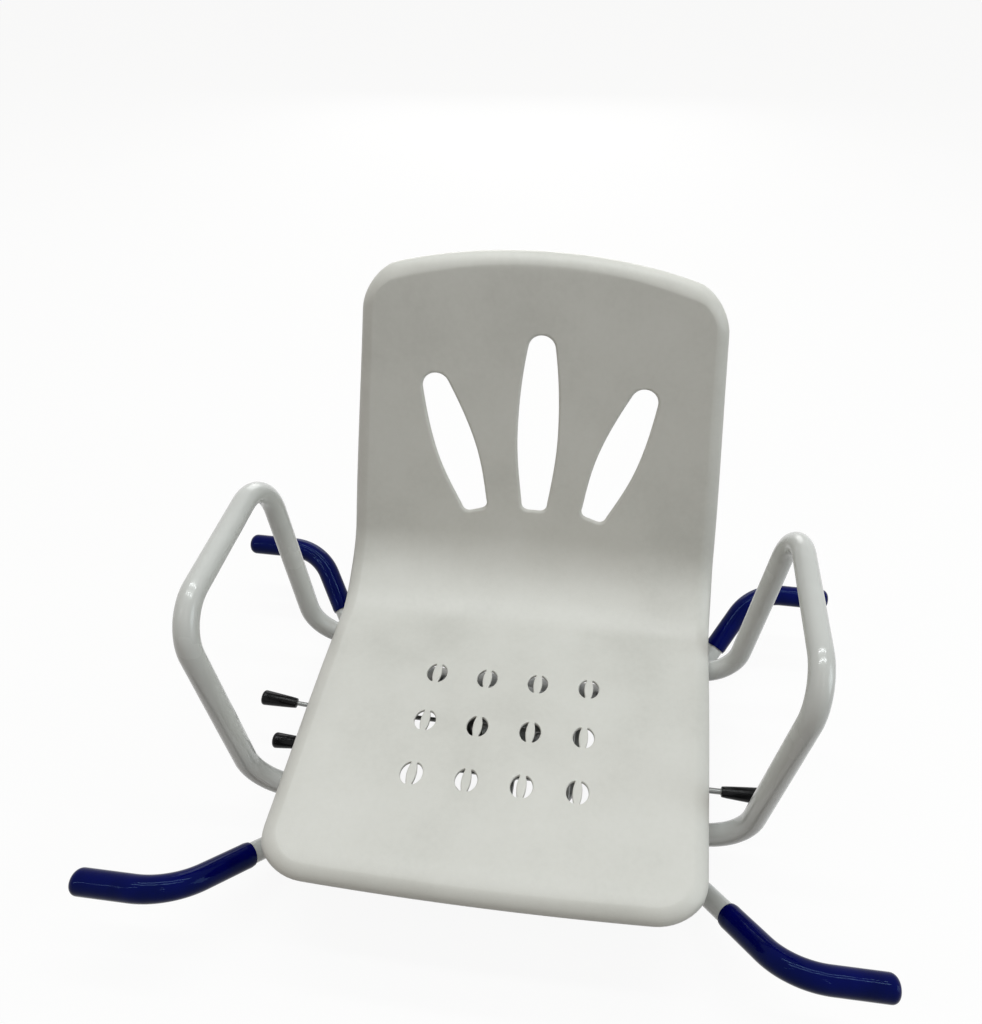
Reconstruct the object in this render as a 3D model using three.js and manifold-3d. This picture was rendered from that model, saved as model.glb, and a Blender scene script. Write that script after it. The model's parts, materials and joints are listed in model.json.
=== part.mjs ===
// Swivel bath seat: a moulded seat and back with two armrests, turning on a frame that hangs
// between the rims of a bath. Millimetres, +Z up, the sitter faces -Y. Places are written from the
// swivel axis (x = y = 0) and from the centre line of the four sleeved frame ends (z = 0); the last
// lines move the whole seat so that its origin is the bottom centre of its box.

import * as THREE from 'three';
import { mergeVertices } from 'three/addons/utils/BufferGeometryUtils.js';
import Module from 'manifold-3d';

// Driving dimensions

const touchGap = 0.3; // between pieces that rest on or in each other
const cutOverrun = 2; // how far a cutter passes the faces it cuts

const tube = { radius: 11.1, wall: 1.5 }; // of the armrests
const baseStock = { radius: 10.5, wall: 1.5 };
const facets = { sides: 12, boreSides: 8, bendStep: 23 }; // of the swept tubes, the step in degrees

const base = {
  tipX: 367.5, // half of the overall width, over the sleeves
  tipY: 218.5,
  elbowX: 277, // corner where an end turns from sideways to down and inwards
  crossX: 188, // corner where it levels out under the seat
  crossY: 95,
  drop: 86, // from the ends down to the cross tubes
  elbowRadius: 60,
  crossRadius: 60,
};

const sleeve = { wall: 1.4, capThickness: 3, capRadius: 5, length: 175 };

const pan = { heightAtAxis: 16.5, tilt: 6.1, frontY: -209, waterfallRadius: 60, waterfallAngle: 35 };
const back = { creaseY: 190.5, recline: 15.7, length: 407, creaseRadius: 90, rollRadius: 80, rollAngle: 18 };
const shell = {
  wall: 4,
  frontHalfWidth: 203.5,
  creaseHalfWidth: 219.5,
  topHalfWidth: 190.5,
  panSoftness: 110, // how gently the sides run in ahead of the crease, and behind it
  backSoftness: 35,
  frontCorner: 50,
  topCorner: 40,
  frontCrown: 6,
  topCrown: 34,
  edgeRadius: 13,
  lipDepth: 17,
  panDish: 6,
  backDish: 12,
};
const hole = {
  width: 22,
  length: 26.6,
  barEnd: 5.2, // width of the bar across each drain hole, at its ends and in its middle
  barMiddle: 9.6,
  pitchX: 57,
  pitchY: 65.1,
  middleY: -24,
};
const slot = {
  halfWidth: 22.8,
  wideShare: 0.46, // how far up a slot is widest
  footHalfWidth: 15.2,
  footCorner: 10,
  footFlare: 3.8, // how far the sides lean out above the foot
  tipRadius: 14.8,
  shoulder: 10, // where the sides meet the round tip, in degrees above its middle
  middleLength: 208.7,
  sideLength: 171.4,
  lean: 17.2, // of the outer slots, in degrees
};
// Foot of the slots, up the back from its corner with the pan
const slotFoot = { height: 105.5, middleRaise: 4.5, sideX: 70.3 };
const boss = { topRadius: 11, footRadius: 9, x: 54 }; // between two columns of drain holes

const armrest = {
  lowerX: 248,
  upperX: 273,
  lowerZ: -24,
  railZ: 208,
  frontY: -91,
  rearY: 107,
  upperFrontY: -74,
  upperRearY: 129,
  bendRadius: 46,
  insertLength: 50,
};
const socket = { wall: 1.7, halfLength: 150 };
const rail = { x: 67, width: 14, wall: 2, overhang: 13 };

const lowerPlate = { thickness: 3, overhang: 4, neckHalfX: 55 }; // overhang past the slide ring
const footStrip = { halfX: 122, halfY: 13, cornerRadius: 8 }; // of the lower plate, along each base tube
const slideRing = { innerRadius: 74, width: 10, thickness: 4 };
const upperPlate = { overhang: 5, thickness: 4 };
// Windows of both swivel plates, a margin inside the slide ring
const plateWindow = { innerX: 12, outerX: 56, nearY: -28, farY: -60, margin: 3 };

const pivot = { radius: 6, bushWall: 2.7, flangeRadius: 15, flangeThickness: 2 };
const pivotHead = { radius: 11, height: 7.5 };
const pivotNut = { radius: 11, height: 10 };
const pivotWasher = { radius: 14, thickness: 2 };

const m6 = { radius: 3, headRadius: 5.8, headHeight: 4, nutHeight: 5 };
const shellScrew = { radius: 2.4, headRadius: 5, headHeight: 3, depthInBoss: 9 };
const baseBolt = { x: 100, buttonRadius: 6, buttonHeight: 3.5, lengthInTube: 9 };
const armrestBoltX = 125;

const grip = { length: 39, innerRadius: 5.4, outerRadius: 8.2, endRadius: 3.5, boreDepth: 30, rodDepth: 28 };
const lockBar = {
  radius: 3,
  y: -48,
  z: -14,
  leftGripX: -205, // inner ends of the two grips
  rightGripX: 228,
  hingeY: -12,
  armX: 44,
  armThickness: 3,
  armHalfHeight: 6,
};
const sideLever = {
  radius: 2.5,
  y: 3,
  z: -22,
  pivotX: 35,
  bendX: -222,
  bendRadius: 15,
  rise: 7, // of the outer end, in degrees
  gripX: -237,
  eyeRadius: 6,
};
const ear = { thickness: 3, halfWidth: 7, rise: 8, foot: 9 };
const fork = { thickness: 2, halfWidth: 7, rise: 7 };
const rivet = { radius: 2, headRadius: 4, headThickness: 1.5 };

const pin = {
  radius: 4,
  headRadius: 8,
  headHalfHeight: 7.5,
  collarRadius: 6.5,
  collarThickness: 2.5,
  slack: 0.6, // between the rod and the roof and floor of the eye it lifts by
  eyeHalfWidth: 5.5,
};
const pinX = -38; // of the lock pin that the side lever lifts
const lug = { thickness: 2.5, halfLength: 3, height: 3 }; // a pair stands either side of a lock pin's tip
const guide = { wall: 2.6, height: 5.5 };
const bridge = { halfWidth: 6, halfSpan: 15, thickness: 2, footLength: 8 };
const spring = { wireRadius: 0.6, coilRadius: 5.3, turns: 5, stepsPerTurn: 8, wireSides: 4 };

// Heights of the stack of plates, from the cross tubes upwards

const crossZ = -base.drop;
const lowerPlateZ = crossZ + baseStock.radius + touchGap;
const slideRingZ = lowerPlateZ + lowerPlate.thickness + touchGap;
const upperPlateZ = slideRingZ + slideRing.thickness + touchGap;
const deckZ = upperPlateZ + upperPlate.thickness + touchGap; // what stands on the upper plate
const socketRadius = tube.radius + touchGap + socket.wall;
const railTopZ = armrest.lowerZ - socketRadius - touchGap;
const slideRingRadius = slideRing.innerRadius + slideRing.width;
const bossFootZ = armrest.lowerZ + socketRadius + touchGap;

// Materials

const material = {
  shell: new THREE.MeshStandardMaterial({ color: 0xd6d6cf, roughness: 0.5, metalness: 0 }),
  paint: new THREE.MeshStandardMaterial({ color: 0xd9dad8, roughness: 0.3, metalness: 0 }),
  navy: new THREE.MeshStandardMaterial({ color: 0x07074f, roughness: 0.25, metalness: 0 }),
  black: new THREE.MeshStandardMaterial({ color: 0x08090a, roughness: 0.35, metalness: 0 }),
  steel: new THREE.MeshStandardMaterial({ color: 0xa9abad, roughness: 0.35, metalness: 1 }),
  nylon: new THREE.MeshStandardMaterial({ color: 0xe6e4dc, roughness: 0.6, metalness: 0 }),
};

// Solids: closed meshes in and out of the boolean library

const wasm = await Module();
wasm.setup();

function toSolid(geometry) {
  const bare = geometry.clone();
  bare.deleteAttribute('normal');
  bare.deleteAttribute('uv');
  const merged = mergeVertices(bare.index ? bare.toNonIndexed() : bare, 1e-4);
  return new wasm.Manifold(
    new wasm.Mesh({
      numProp: 3,
      vertProperties: new Float32Array(merged.attributes.position.array),
      triVerts: new Uint32Array(merged.index.array),
    }),
  );
}

function toGeometry(solid) {
  const mesh = solid.getMesh();
  const geometry = new THREE.BufferGeometry();
  geometry.setAttribute('position', new THREE.BufferAttribute(new Float32Array(mesh.vertProperties), 3));
  geometry.setIndex(new THREE.BufferAttribute(new Uint32Array(mesh.triVerts), 1));
  geometry.computeVertexNormals();
  return geometry;
}

function cut(geometry, cutters) {
  return toGeometry(cutters.reduce((solid, cutter) => solid.subtract(toSolid(cutter)), toSolid(geometry)));
}

function join(geometries) {
  const [first, ...rest] = geometries.map(toSolid);
  return toGeometry(rest.reduce((solid, other) => solid.add(other), first));
}

function overlap(first, second) {
  return toGeometry(toSolid(first).intersect(toSolid(second)));
}

function radians(degrees) {
  return THREE.MathUtils.degToRad(degrees);
}

// The corner radius of a many-sided bore whose flats still clear a bar of this radius
function boreAround(radius, sides = facets.sides) {
  return (radius + touchGap) / Math.cos(Math.PI / sides);
}

// A box between two corners
function block(low, high) {
  const size = high.map((value, axis) => value - low[axis]);
  const middle = high.map((value, axis) => (value + low[axis]) / 2);
  return new THREE.BoxGeometry(...size).translate(...middle);
}

// A round bar along Z from lowZ to highZ
function bar(radius, lowZ, highZ, sides = 16) {
  const height = highZ - lowZ;
  return new THREE.CylinderGeometry(radius, radius, height, sides)
    .rotateX(Math.PI / 2)
    .translate(0, 0, lowZ + height / 2);
}

// A cutter along Z for a hole that clears a bar of this radius
function drill(radius, lowZ, highZ, sides = 8) {
  return bar(boreAround(radius, sides), lowZ, highZ, sides);
}

// A turned piece about Z from [radius, z] points that start and end on the axis or close up
function turned(points, sides = 20) {
  const profile = points.map(([radius, z]) => new THREE.Vector2(radius, z));
  return new THREE.LatheGeometry(profile, sides).rotateX(Math.PI / 2);
}

function ringProfile(innerRadius, outerRadius, lowZ, highZ) {
  return [
    [innerRadius, lowZ],
    [outerRadius, lowZ],
    [outerRadius, highZ],
    [innerRadius, highZ],
    [innerRadius, lowZ],
  ];
}

// Bent tubes: stations along straight runs and bends, with a ring of the section at each one

class StationCurve extends THREE.Curve {
  constructor(stations) {
    super();
    this.stations = stations;
  }

  station(t) {
    return this.stations[Math.round(t * (this.stations.length - 1))];
  }

  getUtoTmapping(u) {
    return u;
  }

  getPoint(t, target = new THREE.Vector3()) {
    return target.copy(this.station(t).point);
  }

  getTangent(t, target = new THREE.Vector3()) {
    return target.copy(this.station(t).tangent);
  }
}

// Corners are [point, bend radius]; the two ends have no radius
function bentRoute(corners, bendStep = facets.bendStep) {
  const points = corners.map(([point]) => new THREE.Vector3(...point));
  const heading = (from, to) => to.clone().sub(from).normalize();
  const stations = [{ point: points[0], tangent: heading(points[0], points[1]) }];
  for (let i = 1; i < points.length - 1; i += 1) {
    const radius = corners[i][1];
    const inward = heading(points[i - 1], points[i]);
    const outward = heading(points[i], points[i + 1]);
    const turn = inward.angleTo(outward);
    const reach = radius * Math.tan(turn / 2);
    const start = points[i].clone().addScaledVector(inward, -reach);
    const normal = outward.clone().addScaledVector(inward, -Math.cos(turn)).normalize();
    const steps = Math.max(2, Math.ceil(turn / radians(bendStep)));
    for (let k = 0; k <= steps; k += 1) {
      const angle = (turn * k) / steps;
      const point = start
        .clone()
        .addScaledVector(inward, radius * Math.sin(angle))
        .addScaledVector(normal, radius * (1 - Math.cos(angle)));
      const tangent = inward.clone().multiplyScalar(Math.cos(angle)).addScaledVector(normal, Math.sin(angle));
      stations.push({ point, tangent });
    }
  }
  const last = points.length - 1;
  stations.push({ point: points[last], tangent: heading(points[last - 1], points[last]) });
  return new StationCurve(stations);
}

function circlePath(PathClass, radius, sides) {
  const path = new PathClass();
  for (let k = 0; k < sides; k += 1) {
    const angle = (2 * Math.PI * k) / sides;
    const point = [radius * Math.cos(angle), radius * Math.sin(angle)];
    if (k === 0) path.moveTo(...point);
    else path.lineTo(...point);
  }
  path.closePath();
  return path;
}

function sweep(route, outerRadius, boreRadius = 0, sides = facets.sides, boreSides = facets.boreSides) {
  const section = circlePath(THREE.Shape, outerRadius, sides);
  if (boreRadius > 0) section.holes.push(circlePath(THREE.Path, boreRadius, boreSides));
  const steps = route.stations.length - 1;
  return new THREE.ExtrudeGeometry(section, { steps, extrudePath: route, bevelEnabled: false });
}

// A flat outline given a depth along Z
function extruded(outline, depth, curveSegments) {
  return new THREE.ExtrudeGeometry(outline, { depth, bevelEnabled: false, curveSegments });
}

// The seat shell's side profile, as a run of straights and arcs measured from its front edge

const profileRuns = makeProfileRuns();
const profileLength = profileRuns.reduce((sum, run) => sum + run.length, 0);

function makeProfileRuns() {
  const panAngle = -radians(pan.tilt);
  const backAngle = radians(90 - back.recline);
  const waterfallTurn = radians(pan.waterfallAngle);
  const creaseTurn = backAngle - panAngle;
  const creaseReach = back.creaseRadius * Math.tan(creaseTurn / 2);
  const rollTurn = radians(back.rollAngle);
  const frontAngle = panAngle + waterfallTurn;
  const waterfallY = pan.waterfallRadius * (Math.sin(frontAngle) - Math.sin(panAngle));
  const panStartY = pan.frontY + waterfallY;
  const panLength = (back.creaseY - panStartY) / Math.cos(panAngle) - creaseReach;
  const rollLength = back.rollRadius * rollTurn;
  const waterfallZ = pan.waterfallRadius * (Math.cos(panAngle) - Math.cos(frontAngle));
  const panStartZ = pan.heightAtAxis + panStartY * Math.tan(panAngle);
  const runs = [
    { length: pan.waterfallRadius * waterfallTurn, turn: -waterfallTurn, steps: 3 },
    { length: panLength, turn: 0, steps: 4 },
    { length: back.creaseRadius * creaseTurn, turn: creaseTurn, steps: 7 },
    { length: back.length - creaseReach - rollLength, turn: 0, steps: 5 },
    { length: rollLength, turn: -rollTurn, steps: 2 },
  ];
  let y = pan.frontY;
  let z = panStartZ - waterfallZ;
  let angle = frontAngle;
  let start = 0;
  for (const run of runs) {
    Object.assign(run, { y, z, angle, start });
    const end = alongRun(run, run.length);
    y = end.y;
    z = end.z;
    angle = end.angle;
    start += run.length;
  }
  return runs;
}

function alongRun(run, distance) {
  const angle = run.angle + (run.turn * distance) / run.length;
  if (run.turn === 0) {
    return { y: run.y + distance * Math.cos(angle), z: run.z + distance * Math.sin(angle), angle };
  }
  const radius = run.length / run.turn;
  return {
    y: run.y + radius * (Math.sin(angle) - Math.sin(run.angle)),
    z: run.z + radius * (Math.cos(run.angle) - Math.cos(angle)),
    angle,
  };
}

function profileAt(distance) {
  const holdsIt = (run) => distance <= run.start + run.length;
  const run = profileRuns.find(holdsIt) ?? profileRuns.at(-1);
  return alongRun(run, distance - run.start);
}

const creaseStart = profileRuns[2].start;
const creaseMiddle = creaseStart + profileRuns[2].length / 2;
const backStart = profileRuns[3].start;

function halfWidthAt(distance) {
  const ahead = distance < creaseMiddle;
  const softness = ahead ? shell.panSoftness : shell.backSoftness;
  const soft = (offset) => Math.hypot(offset, softness) - softness;
  const endWidth = ahead ? shell.frontHalfWidth : shell.topHalfWidth;
  const reach = ahead ? creaseMiddle : profileLength - creaseMiddle;
  const share = soft(distance - creaseMiddle) / soft(reach);
  return shell.creaseHalfWidth + (endWidth - shell.creaseHalfWidth) * share;
}

// A point of the shell: how far along the profile, how far sideways on the unrolled sheet, how deep
function shellPoint(distance, sideways, depth) {
  const acrossShare = sideways / shell.creaseHalfWidth;
  const topShare = THREE.MathUtils.smoothstep(distance, backStart, profileLength);
  const frontShare = 1 - THREE.MathUtils.smoothstep(distance, 0, creaseStart);
  const crown = (shell.frontCrown * frontShare - shell.topCrown * topShare) * acrossShare ** 2;
  const { y, z, angle } = profileAt(distance + crown);
  const backShare = THREE.MathUtils.smoothstep(distance, creaseStart, creaseMiddle);
  const dish = (shell.panDish + (shell.backDish - shell.panDish) * backShare) * acrossShare ** 2;
  const lift = dish * (1 - frontShare) - depth;
  const x = acrossShare * halfWidthAt(distance);
  return new THREE.Vector3(x, y - lift * Math.sin(angle), z + lift * Math.cos(angle));
}

// Distances along the profile where a row of the grid crosses it between the corners
function sideRows() {
  const rows = [];
  for (const run of profileRuns) {
    for (let k = 0; k < run.steps; k += 1) rows.push(run.start + (run.length * k) / run.steps);
  }
  const clear = shell.edgeRadius / 2;
  const low = shell.frontCorner + clear;
  const high = profileLength - shell.topCorner - clear;
  const between = rows.filter((row) => row > low && row < high);
  return [shell.frontCorner, ...between, profileLength - shell.topCorner];
}

// Half of the unrolled outline, from the front edge to the top edge, moved in from the rim by inset
function halfOutline(inset, cornerSteps = 5) {
  const half = shell.creaseHalfWidth;
  const outline = [];
  for (let k = 0; k < cornerSteps; k += 1) {
    const angle = (Math.PI / 2) * (k / cornerSteps);
    const radius = shell.frontCorner - inset;
    const along = shell.frontCorner - radius * Math.cos(angle);
    outline.push([along, half - shell.frontCorner + radius * Math.sin(angle)]);
  }
  for (const row of sideRows()) outline.push([row, half - inset]);
  for (let k = cornerSteps - 1; k >= 0; k -= 1) {
    const angle = (Math.PI / 2) * (k / cornerSteps);
    const radius = shell.topCorner - inset;
    const along = profileLength - shell.topCorner + radius * Math.cos(angle);
    outline.push([along, half - shell.topCorner + radius * Math.sin(angle)]);
  }
  return outline;
}

// The shell as a closed sheet: an outer and an inner skin, each a grid inside rings that roll
// over the rim, joined along the edge of the lip
function shellSheet(columns = 10) {
  const positions = [];
  const triangles = [];
  const addPoint = (distance, sideways, depth) => {
    positions.push(...shellPoint(distance, sideways, depth).toArray());
    return positions.length / 3 - 1;
  };
  const quad = (a, b, c, d, flip) => {
    if (flip) triangles.push(a, c, b, a, d, c);
    else triangles.push(a, b, c, a, c, d);
  };

  // Once round the outline: along the front edge, up the right side, back along the top, down the left
  const loop = (inset, depth) => {
    const half = halfOutline(inset);
    const last = half.length - 1;
    const ids = [];
    for (let j = 1; j < columns; j += 1) {
      ids.push(addPoint(half[0][0], half[0][1] * ((2 * j) / columns - 1), depth));
    }
    for (const [distance, sideways] of half) ids.push(addPoint(distance, sideways, depth));
    for (let j = columns - 1; j > 0; j -= 1) {
      ids.push(addPoint(half[last][0], half[last][1] * ((2 * j) / columns - 1), depth));
    }
    for (const [distance, sideways] of [...half].reverse()) ids.push(addPoint(distance, -sideways, depth));
    return ids;
  };
  const strip = (outer, inner, flip) => {
    outer.forEach((id, k) => {
      const next = (k + 1) % outer.length;
      quad(id, outer[next], inner[next], inner[k], flip);
    });
  };

  const skin = (wall, flip) => {
    const rollRadius = shell.edgeRadius - wall;
    const rings = [[wall, shell.lipDepth]];
    for (let k = 0; k <= 3; k += 1) {
      const angle = (Math.PI / 2) * (k / 3);
      rings.push([
        shell.edgeRadius - rollRadius * Math.cos(angle),
        shell.edgeRadius - rollRadius * Math.sin(angle),
      ]);
    }
    const loops = rings.map(([inset, depth]) => loop(inset, depth));
    for (let k = 1; k < loops.length; k += 1) strip(loops[k - 1], loops[k], flip);
    const half = halfOutline(shell.edgeRadius);
    const edge = loops.at(-1);
    const rows = half.map(([distance, sideways], i) => {
      if (i === 0) return [edge.at(-1), ...edge.slice(0, columns)];
      const right = edge[columns - 1 + i];
      const left = edge[edge.length - 1 - i];
      if (i === half.length - 1) {
        const top = edge.slice(columns - 1 + i, columns - 1 + i + columns + 1);
        return top.reverse();
      }
      const row = [left];
      for (let j = 1; j < columns; j += 1) {
        row.push(addPoint(distance, sideways * ((2 * j) / columns - 1), wall));
      }
      return [...row, right];
    });
    for (let i = 1; i < rows.length; i += 1) {
      const [lower, upper] = [rows[i - 1], rows[i]];
      for (let j = 0; j < columns; j += 1) quad(lower[j], lower[j + 1], upper[j + 1], upper[j], flip);
    }
    return loops[0];
  };

  const outerRim = skin(0, false);
  const innerRim = skin(shell.wall, true);
  strip(outerRim, innerRim, true);

  const geometry = new THREE.BufferGeometry();
  geometry.setAttribute('position', new THREE.Float32BufferAttribute(positions, 3));
  geometry.setIndex(triangles);
  return geometry;
}

// A cutter through the shell at a place on its profile, from an outline in (sideways, along) axes
function shellCutter(outline, distance, sideways) {
  const depth = 2 * (shell.wall + shell.backDish);
  const place = shellPoint(distance, sideways, 0);
  const { angle } = profileAt(distance);
  const across = new THREE.Vector3(1, 0, 0);
  const along = new THREE.Vector3(0, Math.cos(angle), Math.sin(angle));
  const outward = across.clone().cross(along);
  const frame = new THREE.Matrix4().makeBasis(across, along, outward).setPosition(place);
  return extruded(outline, depth, 8)
    .translate(0, 0, -depth / 2)
    .applyMatrix4(frame);
}

// One of the two openings of a drain hole: the hole's oval edge outside, the bulging bar inside
function drainOutline(side, steps = 6) {
  const outline = new THREE.Shape();
  const halfWidth = hole.width / 2;
  const halfLength = hole.length / 2;
  const endAngle = Math.acos(hole.barEnd / hole.width);
  for (let k = 0; k <= steps; k += 1) {
    const angle = endAngle * ((2 * k) / steps - 1);
    const point = [side * halfWidth * Math.cos(angle), halfLength * Math.sin(angle)];
    if (k === 0) outline.moveTo(...point);
    else outline.lineTo(...point);
  }
  const tipY = halfLength * Math.sin(endAngle);
  for (let k = 1; k < steps; k += 1) {
    const share = 1 - (2 * k) / steps;
    const halfBar = hole.barEnd / 2 + ((hole.barMiddle - hole.barEnd) / 2) * (1 - share ** 2);
    outline.lineTo(side * halfBar, tipY * share);
  }
  outline.closePath();
  return outline;
}

// A slot of the back: a petal with a flat foot, widest near its middle, with a round tip
function slotOutline(length) {
  const { halfWidth, footHalfWidth, footCorner, footFlare, tipRadius } = slot;
  const flat = footHalfWidth - footCorner;
  const wideY = length * slot.wideShare;
  const lowReach = (wideY - footCorner) / 3;
  const low = [footHalfWidth + footFlare, footCorner + lowReach];
  const shoulder = radians(slot.shoulder);
  const tipY = length - tipRadius;
  const tip = [tipRadius * Math.cos(shoulder), tipY + tipRadius * Math.sin(shoulder)];
  const highReach = (tip[1] - wideY) / 3;
  const high = [tip[0] + highReach * Math.sin(shoulder), tip[1] - highReach * Math.cos(shoulder)];
  const outline = new THREE.Shape();
  outline.moveTo(flat, 0);
  outline.quadraticCurveTo(footHalfWidth, 0, footHalfWidth, footCorner);
  outline.bezierCurveTo(...low, halfWidth, wideY - lowReach, halfWidth, wideY);
  outline.bezierCurveTo(halfWidth, wideY + highReach, ...high, ...tip);
  outline.absarc(0, tipY, tipRadius, shoulder, Math.PI - shoulder);
  outline.bezierCurveTo(-high[0], high[1], -halfWidth, wideY + highReach, -halfWidth, wideY);
  outline.bezierCurveTo(-halfWidth, wideY - lowReach, -low[0], low[1], -footHalfWidth, footCorner);
  outline.quadraticCurveTo(-footHalfWidth, 0, -flat, 0);
  outline.closePath();
  return outline;
}

function slotCutters() {
  const corner = profileRuns[3];
  const creaseReach = back.creaseRadius * Math.tan((radians(90 - back.recline) + radians(pan.tilt)) / 2);
  const foot = corner.start + slotFoot.height - creaseReach;
  const middle = new THREE.Shape(slotOutline(slot.middleLength).getPoints(6));
  const leaning = (side) => {
    const outline = slotOutline(slot.sideLength);
    const points = outline.getPoints(6);
    for (const point of points) point.rotateAround(new THREE.Vector2(), -side * radians(slot.lean));
    return shellCutter(new THREE.Shape(points), foot, side * slotFoot.sideX);
  };
  return [shellCutter(middle, foot + slotFoot.middleRaise, 0), leaning(-1), leaning(1)];
}

function drainCutters() {
  const panRun = profileRuns[1];
  const middle = panRun.start + (hole.middleY - panRun.y) / Math.cos(panRun.angle);
  const cutters = [];
  for (const row of [-1, 0, 1]) {
    for (const column of [-1.5, -0.5, 0.5, 1.5]) {
      for (const side of [-1, 1]) {
        const outline = drainOutline(side);
        const points = outline.getPoints();
        const shape = new THREE.Shape(side > 0 ? points : points.reverse());
        cutters.push(shellCutter(shape, middle + row * hole.pitchY, column * hole.pitchX));
      }
    }
  }
  return cutters;
}

// Bosses under the pan, one over each end of a socket tube, with a blind hole for its screw
function bossSolids() {
  const rootZ = (y) => pan.heightAtAxis - y * Math.tan(radians(pan.tilt)) - shell.wall / 2;
  const places = [-1, 1].flatMap((side) => [armrest.frontY, armrest.rearY].map((y) => [side * boss.x, y]));
  const bodies = places.map(([x, y]) => {
    const foot = [[0, bossFootZ], [boss.footRadius, bossFootZ]];
    const root = [[boss.topRadius, rootZ(y)], [0, rootZ(y)]];
    return turned([...foot, ...root], 14).translate(x, y, 0);
  });
  const drills = places.map(([x, y]) => {
    const top = bossFootZ + shellScrew.depthInBoss + 2 * touchGap;
    return drill(shellScrew.radius, bossFootZ - cutOverrun, top).translate(x, y, 0);
  });
  return { bodies, drills };
}

function seatShell() {
  const { bodies, drills } = bossSolids();
  const sheet = join([shellSheet(), ...bodies]);
  return cut(sheet, [...drainCutters(), ...slotCutters(), ...drills]);
}

// Frame tubes

function baseTube(side) {
  const y = side * base.tipY;
  const crossY = side * base.crossY;
  const endX = base.tipX - sleeve.capThickness - touchGap;
  const route = bentRoute([
    [[-endX, y, 0]],
    [[-base.elbowX, y, 0], base.elbowRadius],
    [[-base.crossX, crossY, crossZ], base.crossRadius],
    [[base.crossX, crossY, crossZ], base.crossRadius],
    [[base.elbowX, y, 0], base.elbowRadius],
    [[endX, y, 0]],
  ]);
  const drills = [-1, 1].map((end) =>
    drill(m6.radius, crossZ, lowerPlateZ + cutOverrun).translate(end * baseBolt.x, crossY, 0),
  );
  return cut(sweep(route, baseStock.radius, baseStock.radius - baseStock.wall), drills);
}

// A soft sleeve over one end of a base tube, closed and rounded at its tip
function frameSleeve(side, end) {
  const sleeveSides = 16;
  const elbow = [end * base.elbowX, side * base.tipY, 0];
  const cross = [end * base.crossX, side * base.crossY, crossZ];
  const slope = new THREE.Vector3(...cross).sub(new THREE.Vector3(...elbow)).normalize();
  const slopeLength = sleeve.length - (base.tipX - base.elbowX);
  const innerEnd = new THREE.Vector3(...elbow).addScaledVector(slope, slopeLength).toArray();
  const outerRadius = boreAround(baseStock.radius, sleeveSides) + sleeve.wall;
  const capStartX = base.tipX - sleeve.capRadius;
  const skinRoute = bentRoute([
    [[end * capStartX, side * base.tipY, 0]],
    [elbow, base.elbowRadius],
    [innerEnd],
  ]);
  const beyond = new THREE.Vector3(...elbow).addScaledVector(slope, slopeLength + cutOverrun).toArray();
  const boreRoute = bentRoute([
    [[end * (base.tipX - sleeve.capThickness), side * base.tipY, 0]],
    [elbow, base.elbowRadius],
    [beyond],
  ]);
  const roundSteps = 3;
  const cap = [[0, -cutOverrun], [outerRadius, -cutOverrun]];
  for (let k = 0; k <= roundSteps; k += 1) {
    const angle = (Math.PI / 2) * (k / roundSteps);
    const radius = outerRadius - sleeve.capRadius + sleeve.capRadius * Math.cos(angle);
    cap.push([radius, sleeve.capRadius * Math.sin(angle)]);
  }
  cap.push([0, sleeve.capRadius]);
  const capSolid = turned(cap, sleeveSides)
    .rotateY((end * Math.PI) / 2)
    .translate(end * capStartX, side * base.tipY, 0);
  const skin = join([sweep(skinRoute, outerRadius, 0, sleeveSides), capSolid]);
  return cut(skin, [sweep(boreRoute, boreAround(baseStock.radius, sleeveSides), 0, sleeveSides)]);
}

function armrestTube(side) {
  const innerX = socket.halfLength - armrest.insertLength;
  const { lowerX, upperX, lowerZ, railZ, frontY, rearY, upperFrontY, upperRearY, bendRadius } = armrest;
  const route = bentRoute([
    [[side * innerX, frontY, lowerZ]],
    [[side * lowerX, frontY, lowerZ], bendRadius],
    [[side * upperX, upperFrontY, railZ], bendRadius],
    [[side * upperX, upperRearY, railZ], bendRadius],
    [[side * lowerX, rearY, lowerZ], bendRadius],
    [[side * innerX, rearY, lowerZ]],
  ]);
  const drills = [frontY, rearY].map((y) => throughDrill(m6.radius, side * armrestBoltX, y));
  return cut(sweep(route, tube.radius, tube.radius - tube.wall), drills);
}

// A drill straight down through an armrest tube and its socket
function throughDrill(radius, x, y) {
  const reach = socketRadius + cutOverrun;
  return drill(radius, armrest.lowerZ - reach, armrest.lowerZ + reach).translate(x, y, 0);
}

function socketTube(y) {
  const route = bentRoute([
    [[-socket.halfLength, y, armrest.lowerZ]],
    [[socket.halfLength, y, armrest.lowerZ]],
  ]);
  const drills = [-1, 1].flatMap((side) => [
    throughDrill(m6.radius, side * armrestBoltX, y),
    throughDrill(shellScrew.radius, side * boss.x, y),
  ]);
  return cut(sweep(route, socketRadius, boreAround(tube.radius), facets.sides, facets.sides), drills);
}

function sideRail() {
  const halfWidth = rail.width / 2;
  const low = [-halfWidth, armrest.frontY - rail.overhang, deckZ];
  const high = [halfWidth, armrest.rearY + rail.overhang, railTopZ];
  const boreLow = [-halfWidth + rail.wall, low[1] - cutOverrun, deckZ + rail.wall];
  const boreHigh = [halfWidth - rail.wall, high[1] + cutOverrun, railTopZ - rail.wall];
  return cut(block(low, high), [block(boreLow, boreHigh)]);
}

// Swivel plates

const pinPlaces = [
  [0, lockBar.y],
  [pinX, sideLever.y],
];

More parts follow.
